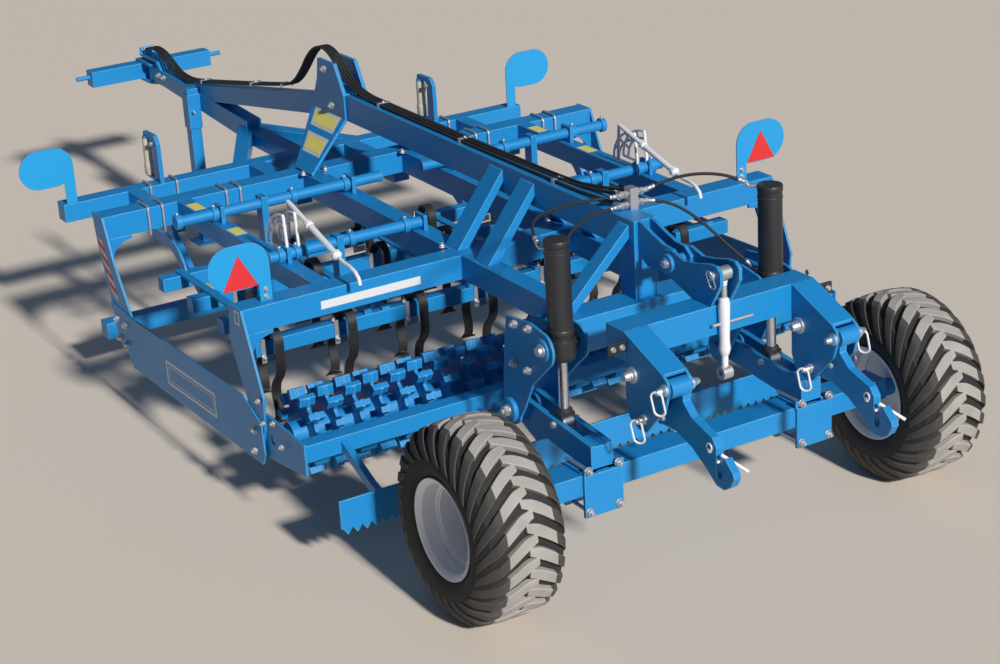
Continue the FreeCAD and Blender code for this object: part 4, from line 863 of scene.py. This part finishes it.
@dataclass
class Wheel(Turning):
    """One transport wheel: a flotation tyre with swept lugs on a deep silver rim.

    Attributes:
        side: the side of the machine that it is on.
        lugs: tread bars on each half.
        lug_height: how far they stand above the carcass.
        sweep: how far a bar runs back round the tyre, in radians.
        worn_rings: the rings of a bar that the ground wears bright.
        ring_sides: flats in one turn of the tyre and the rim.
        studs: wheel nuts.
        stud_circle: the radius at which they stand.
        clearance: how far the bars stay inside the CAD tyre.
        disc: the disc's place outward from the tyre's middle.
    """

    side: Side
    lugs: int = 27
    lug_height: float = 0.024
    sweep: float = 0.56
    worn_rings: int = 8
    ring_sides: int = 96
    studs: int = 8
    stud_circle: float = 0.096
    clearance: float = 0.0004
    disc: float = -0.02

    def __post_init__(self) -> None:
        """Read the tyre's place and size from its CAD node."""
        self.measure(f"tyre_{self.side.word}")
        self.body = f"wheel_{self.side.word}"

    def build(self) -> None:
        """Make the tyre, the rim and the rim's fittings."""
        self.tyre()
        self.tread()
        self.rim()
        self.fittings()

    def surface(self, share: float) -> Pair:
        """The carcass's half width and radius from its crown (0) to its bead (1)."""
        crown = self.radius - self.lug_height
        line = [(0.0, 0.0, crown), (0.2, 0.07, crown - 0.001), (0.36, 0.13, crown - 0.01),
                (0.48, 0.168, crown - 0.032), (0.58, 0.186, crown - 0.066),
                (0.68, self.half - 0.006, crown - 0.1), (0.76, self.half - 0.002, crown - 0.128),
                (0.78, self.half - 0.0005, crown - 0.132), (0.8, self.half - 0.004, crown - 0.137),
                (0.9, self.half - 0.014, 0.242), (1.0, self.half - 0.03, 0.223)]
        for (a, x_a, r_a), (b, x_b, r_b) in zip(line, line[1:]):
            if share <= b:
                part = (share - a) / (b - a)
                return x_a + (x_b - x_a) * part, r_a + (r_b - r_a) * part
        return line[-1][1], line[-1][2]

    def revolve(self, shape: Shape, section: Profile) -> None:
        """Turn a closed section of x and radius once round the wheel's axis."""
        turns = [TURN * index / self.ring_sides for index in range(self.ring_sides)]
        shape.loft([[self.around(x, radius, turn) for x, radius in section] for turn in turns],
                   closed=True)

    def tyre(self) -> None:
        """The carcass as a closed ring."""
        shape = Shape()
        outer = [self.surface(step / 25) for step in range(26)]
        inner = [(0.168, 0.206), (0.15, 0.26), (0.09, 0.33), (0.0, 0.35)]
        self.revolve(shape, [(-x, r) for x, r in reversed(outer[1:])] + outer + inner
                     + [(-x, r) for x, r in reversed(inner[:-1])])
        made = shape.piece(f"tyre_{self.side.word}_carcass", TYRE, self.body, 28)
        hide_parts(f"tyre_{self.side.word}")

    def tread(self) -> None:
        """The lugs of both halves, which mesh along the crown's middle."""
        crown = Shape()
        shoulder = Shape()
        for index in range(self.lugs):
            for hand in (-1, 1):
                start = TURN * (index + (0.5 if hand > 0 else 0)) / self.lugs
                rings = self.lug(start, hand)
                crown.loft(rings[:self.worn_rings])
                shoulder.loft(rings[self.worn_rings - 1:])
        crown.piece(f"tyre_{self.side.word}_lugs", TREAD, self.body, 28)
        shoulder.piece(f"tyre_{self.side.word}_shoulder_lugs", SHOULDER, self.body, 28)

    def lug(self, start: float, hand: int) -> list[list[Vector]]:
        """The rings of one tread bar, from over the crown's middle down the shoulder."""
        rings = []
        pitch = TURN / self.lugs
        limit = self.half - self.clearance
        steps = 14
        for step in range(steps + 1):
            share = step / steps
            along = -0.06 + 0.74 * share
            x, radius = self.surface(abs(along))
            x = -x if along < 0 else x
            fade = 1 if share < 0.62 else 1 - (share - 0.62) / 0.38
            tall = self.lug_height * (0.06 + 0.94 * fade)
            wide = pitch * (0.19 + 0.11 * min(1, share / 0.22)) * (1 - 0.35 * max(0, share - 0.6))
            angle = start - self.sweep * (0.25 * share + 0.75 * share ** 2)
            top = min(radius + tall * (1 if share < 0.7 else 0.5), self.radius - self.clearance)
            out_x = min(x + (0.008 * share if share > 0.5 else 0), limit)
            flank = ((min(x, limit), radius - 0.008, wide), (out_x, top - 0.003, wide * 0.93),
                     (out_x, top, wide * 0.82))
            rings.append([self.around(hand * far, reach, angle - part)
                          for far, reach, part in flank]
                         + [self.around(hand * far, reach, angle + part)
                            for far, reach, part in reversed(flank)])
        return rings

    def rim(self) -> None:
        """A thin stepped barrel with rolled lips, and its dished disc."""
        hand = self.side.value
        outer = [(0.183, 0.2195), (0.176, 0.2215), (0.17, 0.214), (0.168, 0.2), (0.11, 0.196),
                 (0.1, 0.172), (-0.06, 0.172), (-0.08, 0.196), (-0.168, 0.2), (-0.17, 0.214),
                 (-0.176, 0.2215), (-0.183, 0.2195)]
        inner = [(-0.178, 0.206), (-0.163, 0.192), (-0.088, 0.189), (-0.066, 0.163),
                 (0.094, 0.163), (0.104, 0.187), (0.163, 0.192), (0.178, 0.206)]
        shape = Shape()
        self.revolve(shape, [(hand * x, r) for x, r in outer + inner])
        start, end, cap = (self.centre + sideways(hand * (self.disc + off))
                           for off in (-0.03, 0.02, 0.07))
        shape.turned(start, end, [(0, 0.166), (0.24, 0.166), (0.4, 0.15), (0.62, 0.135),
                                  (0.7, 0.118), (0.72, 0.07), (0.98, 0.066), (1, 0.06)], 48)
        shape.turned(end, cap, [(0, 0.058), (0.8, 0.056), (0.95, 0.05), (1, 0.04)], 32)
        made = shape.piece(f"rim_{self.side.word}_dish", SILVER, self.body, 30)
        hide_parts(f"rim_{self.side.word}")

    def fittings(self) -> None:
        """Wheel nuts, hub cap screws and valve."""
        hand = self.side.value
        out = sideways(hand)
        nuts = Shape()
        for count, reach, off, thread, stud in (
                (self.studs, self.stud_circle, 0.006, 0.018, 0.014), (6, 0.036, 0.069, 0.007, 0)):
            for index in range(count):
                seat = self.around(hand * (self.disc + off), reach, TURN * index / count)
                nuts.bolt(seat, out, thread, stud)
        base = self.around(hand * (self.disc + 0.006), 0.16, 0.6)
        nuts.rod(base, base + out * 0.045, 0.006)
        nuts.piece(f"wheel_nuts_{self.side.word}", ZINC, self.body)


@dataclass
class ToothedRoller(Turning):
    """Many narrow toothed rings with cross tabs on one tube."""

    teeth: int = 11
    rings: int = 24
    step: float = 0.115
    thickness: float = 0.016
    tooth: tuple[Pair, ...] = ((0.0, 0.143), (0.2, 0.146), (0.32, 0.197), (0.64, 0.197),
                               (0.8, 0.146))
    tab: Triple = (0.078, 0.028, 0.046)

    def build(self) -> None:
        """Make the rings, the tube and the journals."""
        self.measure("roller")
        shape = Shape()
        for index in range(self.rings):
            self.ring(shape, (index - (self.rings - 1) / 2) * self.step, index % 2)
        ends, reach = sideways(1.4), sideways(1.475)
        shape.turned(self.centre - ends, self.centre + ends, [(0, 0.06), (1, 0.06)], 28)
        shape.rod(self.centre - reach, self.centre + reach, 0.024)
        made = shape.piece("roller_rings", BLUE, "roller", 30)
        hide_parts("roller")

    def ring(self, shape: Shape, x: float, odd: int) -> None:
        """One ring: a toothed disc with a tab across each tooth.

        Args:
            shape: where it goes.
            x: its place along the roller from the middle.
            odd: 1 to turn it on by half a tooth, or 0.
        """
        pitch = TURN / self.teeth
        starts = [pitch * (tooth + odd / 2) for tooth in range(self.teeth)]
        shape.slab([self.around(x - self.thickness / 2, radius, start + pitch * share)
                    for start in starts for share, radius in self.tooth],
                   sideways(self.thickness))
        for start in starts:
            angle = start + pitch * 0.48
            out = Vector((0, math.sin(angle), math.cos(angle)))
            spin = Matrix((sideways(1), out.cross(sideways(1)), out)).transposed()
            shape.block(self.around(x, 0.175, angle), self.tab, spin, 0.15)


# --- Bolts, pins and small parts on the chassis ---


@dataclass
class Chassis:
    """Fittings on the rear cheeks, the axle and the lift cylinders."""

    cheek_face: float = 0.648
    trunnion: Pair = (CYLINDER_Y, 0.985)
    pivot: Pair = (0.58, 0.62)
    cheek_bolts: tuple[Pair, ...] = ((0.516, 1.039), (0.402, 1.052), (0.534, 0.853), (0.42, 0.856))

    def build(self) -> None:
        """Dress both sides."""
        for side in Side:
            self.cheek(side)
            self.cylinder(side)
            self.clamp(side)

    def cheek(self, side: Side) -> None:
        """The four bolts, the trunnion boss and the pivot boss on the outer cheek."""
        hand = side.value
        face = hand * self.cheek_face
        out = sideways(hand)
        trunnion, pivot = at(face, *self.trunnion), at(face, *self.pivot)
        bolts = Shape()
        for y, z in self.cheek_bolts:
            bolts.bolt(at(face, y, z), out, 0.02, 0.01)
        bolts.boss(trunnion, hand * 0.03, [(0, 0.03), (0.4, 0.03), (0.5, 0.022), (1, 0.02)], 24)
        bolts.bolt(pivot + out * 0.022, out, 0.026, 0.012)
        bolts.piece(f"cheek_bolts_{side.word}", ZINC)
        bosses = Shape()
        bosses.boss(trunnion, hand * 0.008, [(0, 0.05), (0.7, 0.05), (1, 0.046)], 28)
        bosses.boss(pivot, hand * 0.022, [(0, 0.056), (0.8, 0.056), (1, 0.048)], 28)
        bosses.piece(f"cheek_bosses_{side.word}", BLUE)

    def cylinder(self, side: Side) -> None:
        """Cap, gland and rod clevis on one lift cylinder."""
        centre = side.value * CYLINDER_X
        low, high = span(f"cylinder_barrel_{side.word}")
        body = f"barrel_{side.word}"
        rings = Shape()
        for base, tall, radius in ((high.z - 0.03, 0.0295, 0.0575), (high.z - 0.062, 0.01, 0.057),
                                   (1.035, 0.03, 0.0585), (low.z + 0.001, 0.05, 0.0585)):
            rim = radius * 0.96
            foot = at(centre, CYLINDER_Y, base)
            rings.turned(foot, at(centre, CYLINDER_Y, base + tall),
                         [(0, rim), (0.12, radius), (0.88, radius), (1, rim)], 36)
        rings.piece(f"cylinder_rings_{side.word}", BLACK, body)
        clevis = Shape()
        clevis.turned(at(centre, CYLINDER_Y, 0.672), at(centre, CYLINDER_Y, 0.7),
                      [(0, 0.036), (0.7, 0.036), (0.9, 0.032), (1, 0.0245)], 24)
        for hand in (-1, 1):
            clevis.block(at(centre + hand * 0.03, CYLINDER_Y, 0.648), (0.01, 0.06, 0.07))
        clevis.piece(f"rod_clevis_{side.word}", BLACK, f"rod_{side.word}")
        pin = Shape()
        for hand in (-1, 1):
            pin.bolt(at(centre + hand * 0.0545, CYLINDER_Y, 0.634), sideways(hand), 0.016)
        pin.piece(f"rod_pin_heads_{side.word}", ZINC, "axle")

    def clamp(self, side: Side) -> None:
        """The saddle, the rods and their nuts that clamp one swing arm to the axle beam."""
        hand = side.value
        low, high = span("axle_beam")
        rear, front = low.y, high.y
        saddle = Shape()
        saddle.block(at(hand * 0.565, (rear + front) / 2, 0.519), (0.19, 0.14, 0.012))
        for x in (0.465, 0.65):
            saddle.block(at(hand * x, rear + 0.008, 0.53), (0.014, 0.015, 0.034))
        saddle.piece(f"axle_saddle_{side.word}", BLUE, "axle")
        bolts = Shape()
        for x in (0.488, 0.638):
            for z in (0.535, 0.345):
                bolts.rod(at(hand * x, rear + 0.002, z), at(hand * x, front - 0.002, z), 0.009, 12)
                bolts.bolt(at(hand * x, rear, z), REARWARD, 0.018, 0.012)
        bolts.piece(f"axle_clamp_bolts_{side.word}", ZINC, "axle")


@dataclass
class DrillHitch:
    """Pins, clips and handles on the seed drill hitch.

    An arm plate's outer and inner faces are each a distance from the middle and a way out.
    """

    outer: tuple[float, int] = (0.49, 1)
    inner: tuple[float, int] = (0.37, -1)
    middle: float = 0.402
    mast_face: float = 0.056

    def build(self) -> None:
        """Dress both arms, the mast and the top link."""
        for side in Side:
            self.arm(side)
            self.link(side)
        self.mast()
        self.top_link()

    def arm(self, side: Side) -> None:
        """Pin heads and linch pins of one arm, and the bracket on its top."""
        hand = side.value
        pins = Shape()
        for y, z, radius in ((-0.135, 0.977, 0.036), (-0.362, 0.985, 0.026), (-0.21, 0.805, 0.022)):
            for far, out in (self.outer, self.inner):
                seat = at(hand * far, y, z)
                step = sideways(hand * out)
                pins.boss(seat, step.x * 0.014, [(0, radius), (0.8, radius), (1, radius * 0.9)], 24)
                pins.boss(seat + step * 0.014, step.x * 0.032,
                          [(0, radius * 0.7), (0.5, radius * 0.62), (1, radius * 0.42)])
        for far, out in (self.outer, self.inner):
            pins.bolt(at(hand * far, -0.345, 0.86), sideways(hand * out), 0.012)
        lean = Vector((0.8, 0.6, 0.1))
        clips = Shape()
        for y, z, (far, out) in ((-0.362, 0.965, self.outer), (-0.21, 0.79, self.outer),
                                 (-0.21, 0.79, self.inner)):
            middle = at(hand * (far + out * 0.036), y, z - 0.03)
            clips.ring(middle, lean, 0.024, 0.0048, 0.06)
        pins.piece(f"hitch_pins_{side.word}", ZINC)
        clips.piece(f"hitch_clips_{side.word}", WHITE_METAL)
        bracket = Shape()
        bracket.block(at(hand * 0.535, -0.09, 1.09), (0.085, 0.012, 0.05))
        bracket.piece(f"hitch_bracket_{side.word}", BLACK)
        heads = Shape()
        for x in (0.512, 0.556):
            heads.bolt(at(hand * x, -0.096, 1.09), REARWARD, 0.012)
        heads.piece(f"hitch_bracket_bolts_{side.word}", ZINC)

    def link(self, side: Side) -> None:
        """The locking rod and the ring pull on one drill link."""
        hand = side.value
        x = hand * self.middle
        pull = Shape()
        pull.rod(at(x - 0.012, -0.625, 0.778), at(x + 0.062, -0.704, 0.712), 0.0075, 12)
        pull.rod(at(x - 0.03, -0.619, 0.748), at(x + 0.03, -0.619, 0.748), 0.006, 12)
        pull.ring(at(x - 0.022, -0.56, 0.79), sideways(1), 0.016, 0.0032)
        pull.bolt(at(x - 0.018, -0.56, 0.775), sideways(-1), 0.01)
        pull.piece(f"hook_lock_{side.word}", WHITE_METAL)

    def mast(self) -> None:
        """Bosses and pin ends on the mast plates."""
        bosses = Shape()
        pins = Shape()
        for hand in (-1, 1):
            hinge = at(hand * self.mast_face, 0.21, 1.261)
            bosses.boss(hinge, hand * 0.014, [(0, 0.042), (0.7, 0.042), (1, 0.036)], 28)
            pins.bolt(hinge + sideways(hand * 0.014), sideways(hand), 0.02)
            pins.boss(at(hand * self.mast_face, -0.1, 1.292), hand * 0.018, [(0, 0.02), (1, 0.02)])
        pins.ring(at(-0.08, -0.12, 1.285), Vector((1, 0.2, 0.2)), 0.016, 0.003, 0.05)
        bosses.piece("mast_bosses", BLUE)
        pins.piece("mast_pin_ends", ZINC)

    def top_link(self) -> None:
        """Thread, lock nut and swelling body of the hanging top link."""
        link = Shape()
        top, foot = at(0, -0.1, 1.262), at(0, -0.1, 0.878)
        link.turned(top, foot, [(0, 0.017), (0.06, 0.014), (0.2, 0.014), (0.22, 0.022),
                                (0.28, 0.026), (0.5, 0.024), (0.7, 0.022), (0.8, 0.026),
                                (0.86, 0.02), (0.88, 0.0145), (1, 0.0145)], 24)
        link.piece("top_link_body", WHITE_METAL)


@dataclass
class TineClamps:
    """A bright angle clamp and its bolts for each spring tine."""

    rows: int = 4
    per_row: int = 7
    rear: float = 1.715
    step: float = 0.362
    pitch: float = 0.38
    bar_z: float = 0.72
    bar_half: float = 0.035

    def build(self) -> None:
        """Clamp all four rows."""
        clamps = Shape()
        for row in range(self.rows):
            y = self.rear + row * self.step
            first = -3.375 * self.pitch + row * self.pitch / self.rows
            for index in range(self.per_row):
                x = first + index * self.pitch - 0.034
                back = y - self.bar_half
                clamps.block(at(x, back - 0.004, self.bar_z), (0.022, 0.008, 0.1))
                clamps.block(at(x, y - 0.012, self.bar_z + 0.039), (0.022, 0.06, 0.007))
                clamps.block(at(x + 0.034, back - 0.006, self.bar_z - 0.052), (0.09, 0.008, 0.03))
                clamps.bolt(at(x, back - 0.008, self.bar_z - 0.04), REARWARD, 0.012, 0.008)
                clamps.bolt(at(x, y - 0.01, self.bar_z + 0.042), UP, 0.012, 0.014)
        clamps.piece("tine_clamps", ZINC)


@dataclass
class Markings:
    """Blank stickers, framed plates, stripes and warning triangles."""

    film: float = 0.0008

    def build(self) -> None:
        """Place every marking."""
        self.stickers()
        self.plates()
        self.stripes()
        self.triangles()

    def patch(self, shape: Shape, centre: Vector, along: Vector, up: Vector) -> None:
        """Lay a thin film whose half lengths are two vectors."""
        out = along.cross(up).normalized() * self.film
        shape.slab([centre + along + up, centre - along + up, centre - along - up,
                    centre + along - up], out)

    def frame_lines(self, shape: Shape, centre: Vector, along: Vector, up: Vector,
                    wide: float) -> None:
        """Lay four thin strips round the edge of a rectangle.

        Args:
            shape: where they go.
            centre: the rectangle's middle.
            along: half its length.
            up: half its height.
            wide: the strips' width.
        """
        edge_along = along.normalized() * wide / 2
        edge_up = up.normalized() * wide / 2
        for hand in (-1, 1):
            self.patch(shape, centre + hand * (up - edge_up), along, edge_up)
            self.patch(shape, centre + hand * (along - edge_along), edge_along, up - 2 * edge_up)

    @staticmethod
    def leg_point(hand: int, across: float, down: float, lift: float) -> Vector:
        """A point on the outer face of one of the tower's legs.

        Args:
            hand: the side's sign.
            across: 0 at the leg's rear edge and 1 at its front edge.
            down: 0 at the head and 1 at the foot.
            lift: how far it stands off the leg's outer face.
        """
        head = Vector((hand * 0.06, 3.16 + 0.4 * across, 1.24))
        foot = Vector((hand * 0.335, 3.062 + 0.2 * across, 1.01))
        out = Vector((hand * 0.23, 0, 0.275)).normalized()
        place = head.lerp(foot, down) + out * (0.014 + lift)
        return at(*place)

    def stickers(self) -> None:
        """Yellow films with white edges on the tower's legs and the side rails."""
        yellow, white = Shape(), Shape()
        for hand in (-1, 1):
            for upper, lower in ((0.0, 0.3), (0.4, 0.72)):
                for shape, grow, lift in ((white, 0.0, 0.0002), (yellow, 0.05, 0.0008)):
                    corners = [self.leg_point(hand, across, down, lift) for across, down in (
                        (0.12 + grow, upper + grow), (0.88 - grow, upper + grow),
                        (0.88 - grow, lower - grow), (0.12 + grow, lower - grow))]
                    out = (corners[1] - corners[0]).cross(corners[2] - corners[0]).normalized()
                    shape.slab(corners, out * (hand * -0.0006))
            rail = span("side_rail_left")[1].z
            for y in (2.51, 3.01):
                for shape, grow, lift in ((white, 0.0, 0.0002), (yellow, 0.005, 0.0009)):
                    self.patch(shape, at(hand * 1.035, y, rail + lift),
                               sideways(0.033 - grow), Vector((0, 0.06 - grow, 0)))
        yellow.piece("yellow_stickers", YELLOW)
        white.piece("sticker_edges", WHITE)

    def plates(self) -> None:
        """A white film on the rear beam, and framed ones on the panels and rear end plates."""
        shape = Shape()
        rear = span("rear_beam")[0].y
        self.patch(shape, at(-0.834, rear - 0.0002, 0.94), sideways(0.26), UP * 0.02)
        for hand in (-1, 1):
            centre = at(hand * 1.5003, 2.17, 0.407)
            along, up = Vector((0, -hand * 0.295, 0.01 * hand)), UP * 0.064
            self.frame_lines(shape, centre, along, up, 0.014)
            self.frame_lines(shape, centre, along * 0.9, up * 0.62, 0.005)
            self.frame_lines(shape, at(hand * 1.4923, 1.53, 0.965),
                             REARWARD * (hand * 0.026), UP * 0.034, 0.01)
        # The plates take the brighter white copy, painted light against their shade.
        shape.piece("white_plates", SHADE_LIFTED_WHITE)

    def stripes(self) -> None:
        """Red and white slanted bands down the front end plates."""
        white, red = Shape(), Shape()
        bands, lean, face = 9, 0.1, 1.4926
        start, wide = Vector((0, 3.225, 0.885)), Vector((0, 0.036, 0))
        way = Vector((0, 3.085, 0.585)) - start
        for hand in (-1, 1):
            for index in range(bands):
                first, second = index / bands, (index + 1) / bands
                corners = [start + way * first - wide, start + way * max(first - lean, 0) + wide,
                           start + way * max(second - lean, 0.02) + wide,
                           start + way * second - wide]
                target = red if index % 2 else white
                target.slab([at(hand * face, p.y, p.z) for p in corners],
                            sideways(hand * self.film))
        white.piece("stripe_white", WHITE)
        red.piece("stripe_red", RED)

    def triangles(self) -> None:
        """A red triangle on the rear face of each rear board."""
        shape = Shape()
        rear = span("marker_boards")[0].y
        for hand in (-1, 1):
            middle = at(hand * 1.455, rear - 0.0004, 1.1)
            shape.slab([middle + UP * 0.15, middle + Vector((-0.088, 0, -0.008)),
                        middle + Vector((0.088, 0, -0.008))], REARWARD * self.film)
        shape.piece("red_triangles", RED)


@dataclass
class FrameFittings:
    """Bolts, U-bolts, spindles, collars and dampers on the main frame."""

    panel_face: float = 1.5
    spindle_x: float = 0.949
    damper_x: float = 0.868

    def build(self) -> None:
        """Place every fitting."""
        self.bolts()
        self.u_bolts()
        self.spindles()
        self.dampers()
        self.collars()

    def bolts(self) -> None:
        """Bolts on the drawbar's head, the side panels, the boards and the stand."""
        shape = Shape()
        rear = span("marker_boards")[0].y
        outward = (
            (self.panel_face, 0.018, 0.006, ((3.08, 0.49), (2.97, 0.486), (3.07, 0.389),
                                             (2.98, 0.38), (1.43, 0.454), (1.45, 0.345))),
            (self.panel_face - 0.0005, 0.014, 0.006, ((1.36, 0.62), (1.22, 0.56), (1.33, 0.52),
                                                      (1.15, 0.47))),
            (0.05, 0.018, 0.008, ((5.84, 0.955), (5.76, 0.955))),
            (0.072, 0.02, 0.008, ((3.36, 1.49), (3.3, 1.3))))
        for hand in (-1, 1):
            for x, thread, stud, places in outward:
                for y, z in places:
                    shape.bolt(at(hand * x, y, z), sideways(hand), thread, stud)
            for z in (1.03, 1.065):
                shape.bolt(at(hand * 1.335, rear, z), REARWARD, 0.012)
            for x in (0.235, 0.365):
                for y in (1.64, 3.12):
                    shape.bolt(at(hand * x, y, 1.011), UP, 0.016, 0.01)
        sleeve = at(-0.105, 5.25, 0.86)
        shape.rod(sleeve + REARWARD * 0.07, sleeve - REARWARD * 0.06, 0.009)
        shape.piece("frame_bolts", ZINC)

    def u_bolts(self) -> None:
        """U-bolts round the front and middle beams."""
        shape = Shape()
        for beam, places in (("middle", (0.72, 0.8, 1.16, 1.24)), ("front", (0.79, 0.945))):
            low, high = span(f"{beam}_beam")
            y = (low.y + high.y) / 2
            deep = high.z - low.z + 0.03
            for hand in (-1, 1):
                for x in places:
                    shape.u_bolt(at(hand * x, y, high.z + 0.008),
                                 REARWARD * (-(high.y - low.y) / 2 - 0.008), UP * -deep, 0.007)
        shape.piece("beam_u_bolts", ZINC)

    def spindles(self) -> None:
        """Telescopic spindles that set the depth shafts, each with a crank and a lever."""
        shape = Shape()
        for hand in (-1, 1):
            x = hand * self.spindle_x
            start, end = at(x, 2.062, 1.262), at(x, 1.56, 1.12)
            shape.turned(start, end, [(0, 0.009), (0.04, 0.012), (0.4, 0.012), (0.41, 0.021),
                                      (0.45, 0.021), (0.46, 0.015), (0.93, 0.015), (0.94, 0.024),
                                      (0.98, 0.024), (1, 0.014)], 16)
            crank = ((0, 0), (-0.06, -0.014), (-0.11, -0.016), (-0.16, -0.028), (-0.19, -0.05),
                     (-0.2, -0.08))
            shape.tube([end + Vector((0, y, z)) for y, z in crank], 0.009)
            shape.rod(start, start + Vector((0, 0.02, -0.19)), 0.008)
            for gap in (-0.03, 0.03):
                self.quadrant(shape, at(hand * 1.0 + gap, 1.951, 1.045))
        shape.piece("depth_spindles", WHITE_METAL)

    @staticmethod
    def quadrant(shape: Shape, centre: Vector) -> None:
        """Add an open sector of bars, about a depth shaft's axis, that holds its setting."""
        steps = 8
        arcs = []
        for reach, rise in ((0.2, 0.175), (0.155, 0.135)):
            turns = [math.pi / 2 * step / steps for step in range(steps + 1)]
            arcs.append([centre + Vector((0, reach * math.sin(turn), 0.015 + rise * math.cos(turn)))
                         for turn in turns])
            shape.tube(arcs[-1], 0.0065)
        for outer, inner in list(zip(*arcs))[::2]:
            shape.rod(outer, inner, 0.006, 10)
        shape.rod(centre + Vector((0, -0.015, 0.03)), arcs[0][0], 0.008, 12)
        shape.rod(arcs[0][-1], centre + Vector((0, 0.03, 0.01)), 0.006, 10)

    def dampers(self) -> None:
        """Cream tubes in the dampers' hooks, with a clamp bolt under each."""
        shape, bolts = Shape(), Shape()
        low, high = span("front_beam")
        for hand in (-1, 1):
            x = hand * self.damper_x
            shape.turned(at(x, 4.03, high.z + 0.015), at(x, 4.03, 1.123),
                         [(0, 0.026), (0.04, 0.032), (0.3, 0.032), (0.32, 0.0285), (0.94, 0.0285),
                          (1, 0.022)], 24)
            for z in (low.z + 0.03, high.z - 0.02):
                bolts.bolt(at(x, high.y, z), -REARWARD, 0.014, 0.01)
            for out in (-hand, hand):
                bolts.bolt(at(x + out * 0.012, 3.94, 1.1), sideways(out), 0.014)
        shape.piece("damper_tubes", CREAM)
        bolts.piece("damper_bolts", ZINC)

    def collars(self) -> None:
        """Blue collars on the depth shafts beside their posts, each with a set screw."""
        rings, screws = Shape(), Shape()
        for y, z, places in ((2.702, 1.058, (0.3, 0.6, 1.035, 1.23)),
                             (1.951, 1.045, (0.36, 0.66, 1.035, self.spindle_x))):
            for hand in (-1, 1):
                for x in places:
                    start = at(hand * (x + 0.016), y, z)
                    rings.boss(start, hand * 0.03,
                               [(0, 0.036), (0.1, 0.039), (0.9, 0.039), (1, 0.036)], 28)
                    screws.bolt(start + Vector((hand * 0.015, 0, 0.039)), UP, 0.009)
        rings.piece("shaft_collars", BLUE)
        screws.piece("collar_screws", ZINC)


def main() -> None:
    """Build the stage and then every sub-assembly."""
    logging.basicConfig(level=logging.INFO, format="%(message)s")
    Studio().build()
    dress_nodes({"tyre": TYRE, "rim": SILVER, "cylinder_barrel": BLACK, "cylinder_rod": CHROME,
                 "tines": TINE, "supply": HOSE, "lift": HOSE, "valve": ZINC, "top_link": ZINC,
                 "marker": PALE_BLUE})
    Hoses().build()
    for side in Side:
        Wheel(side).build()
    ToothedRoller().build()
    Chassis().build()
    DrillHitch().build()
    TineClamps().build()
    Markings().build()
    FrameFittings().build()


if __name__ == "__main__":
    main()
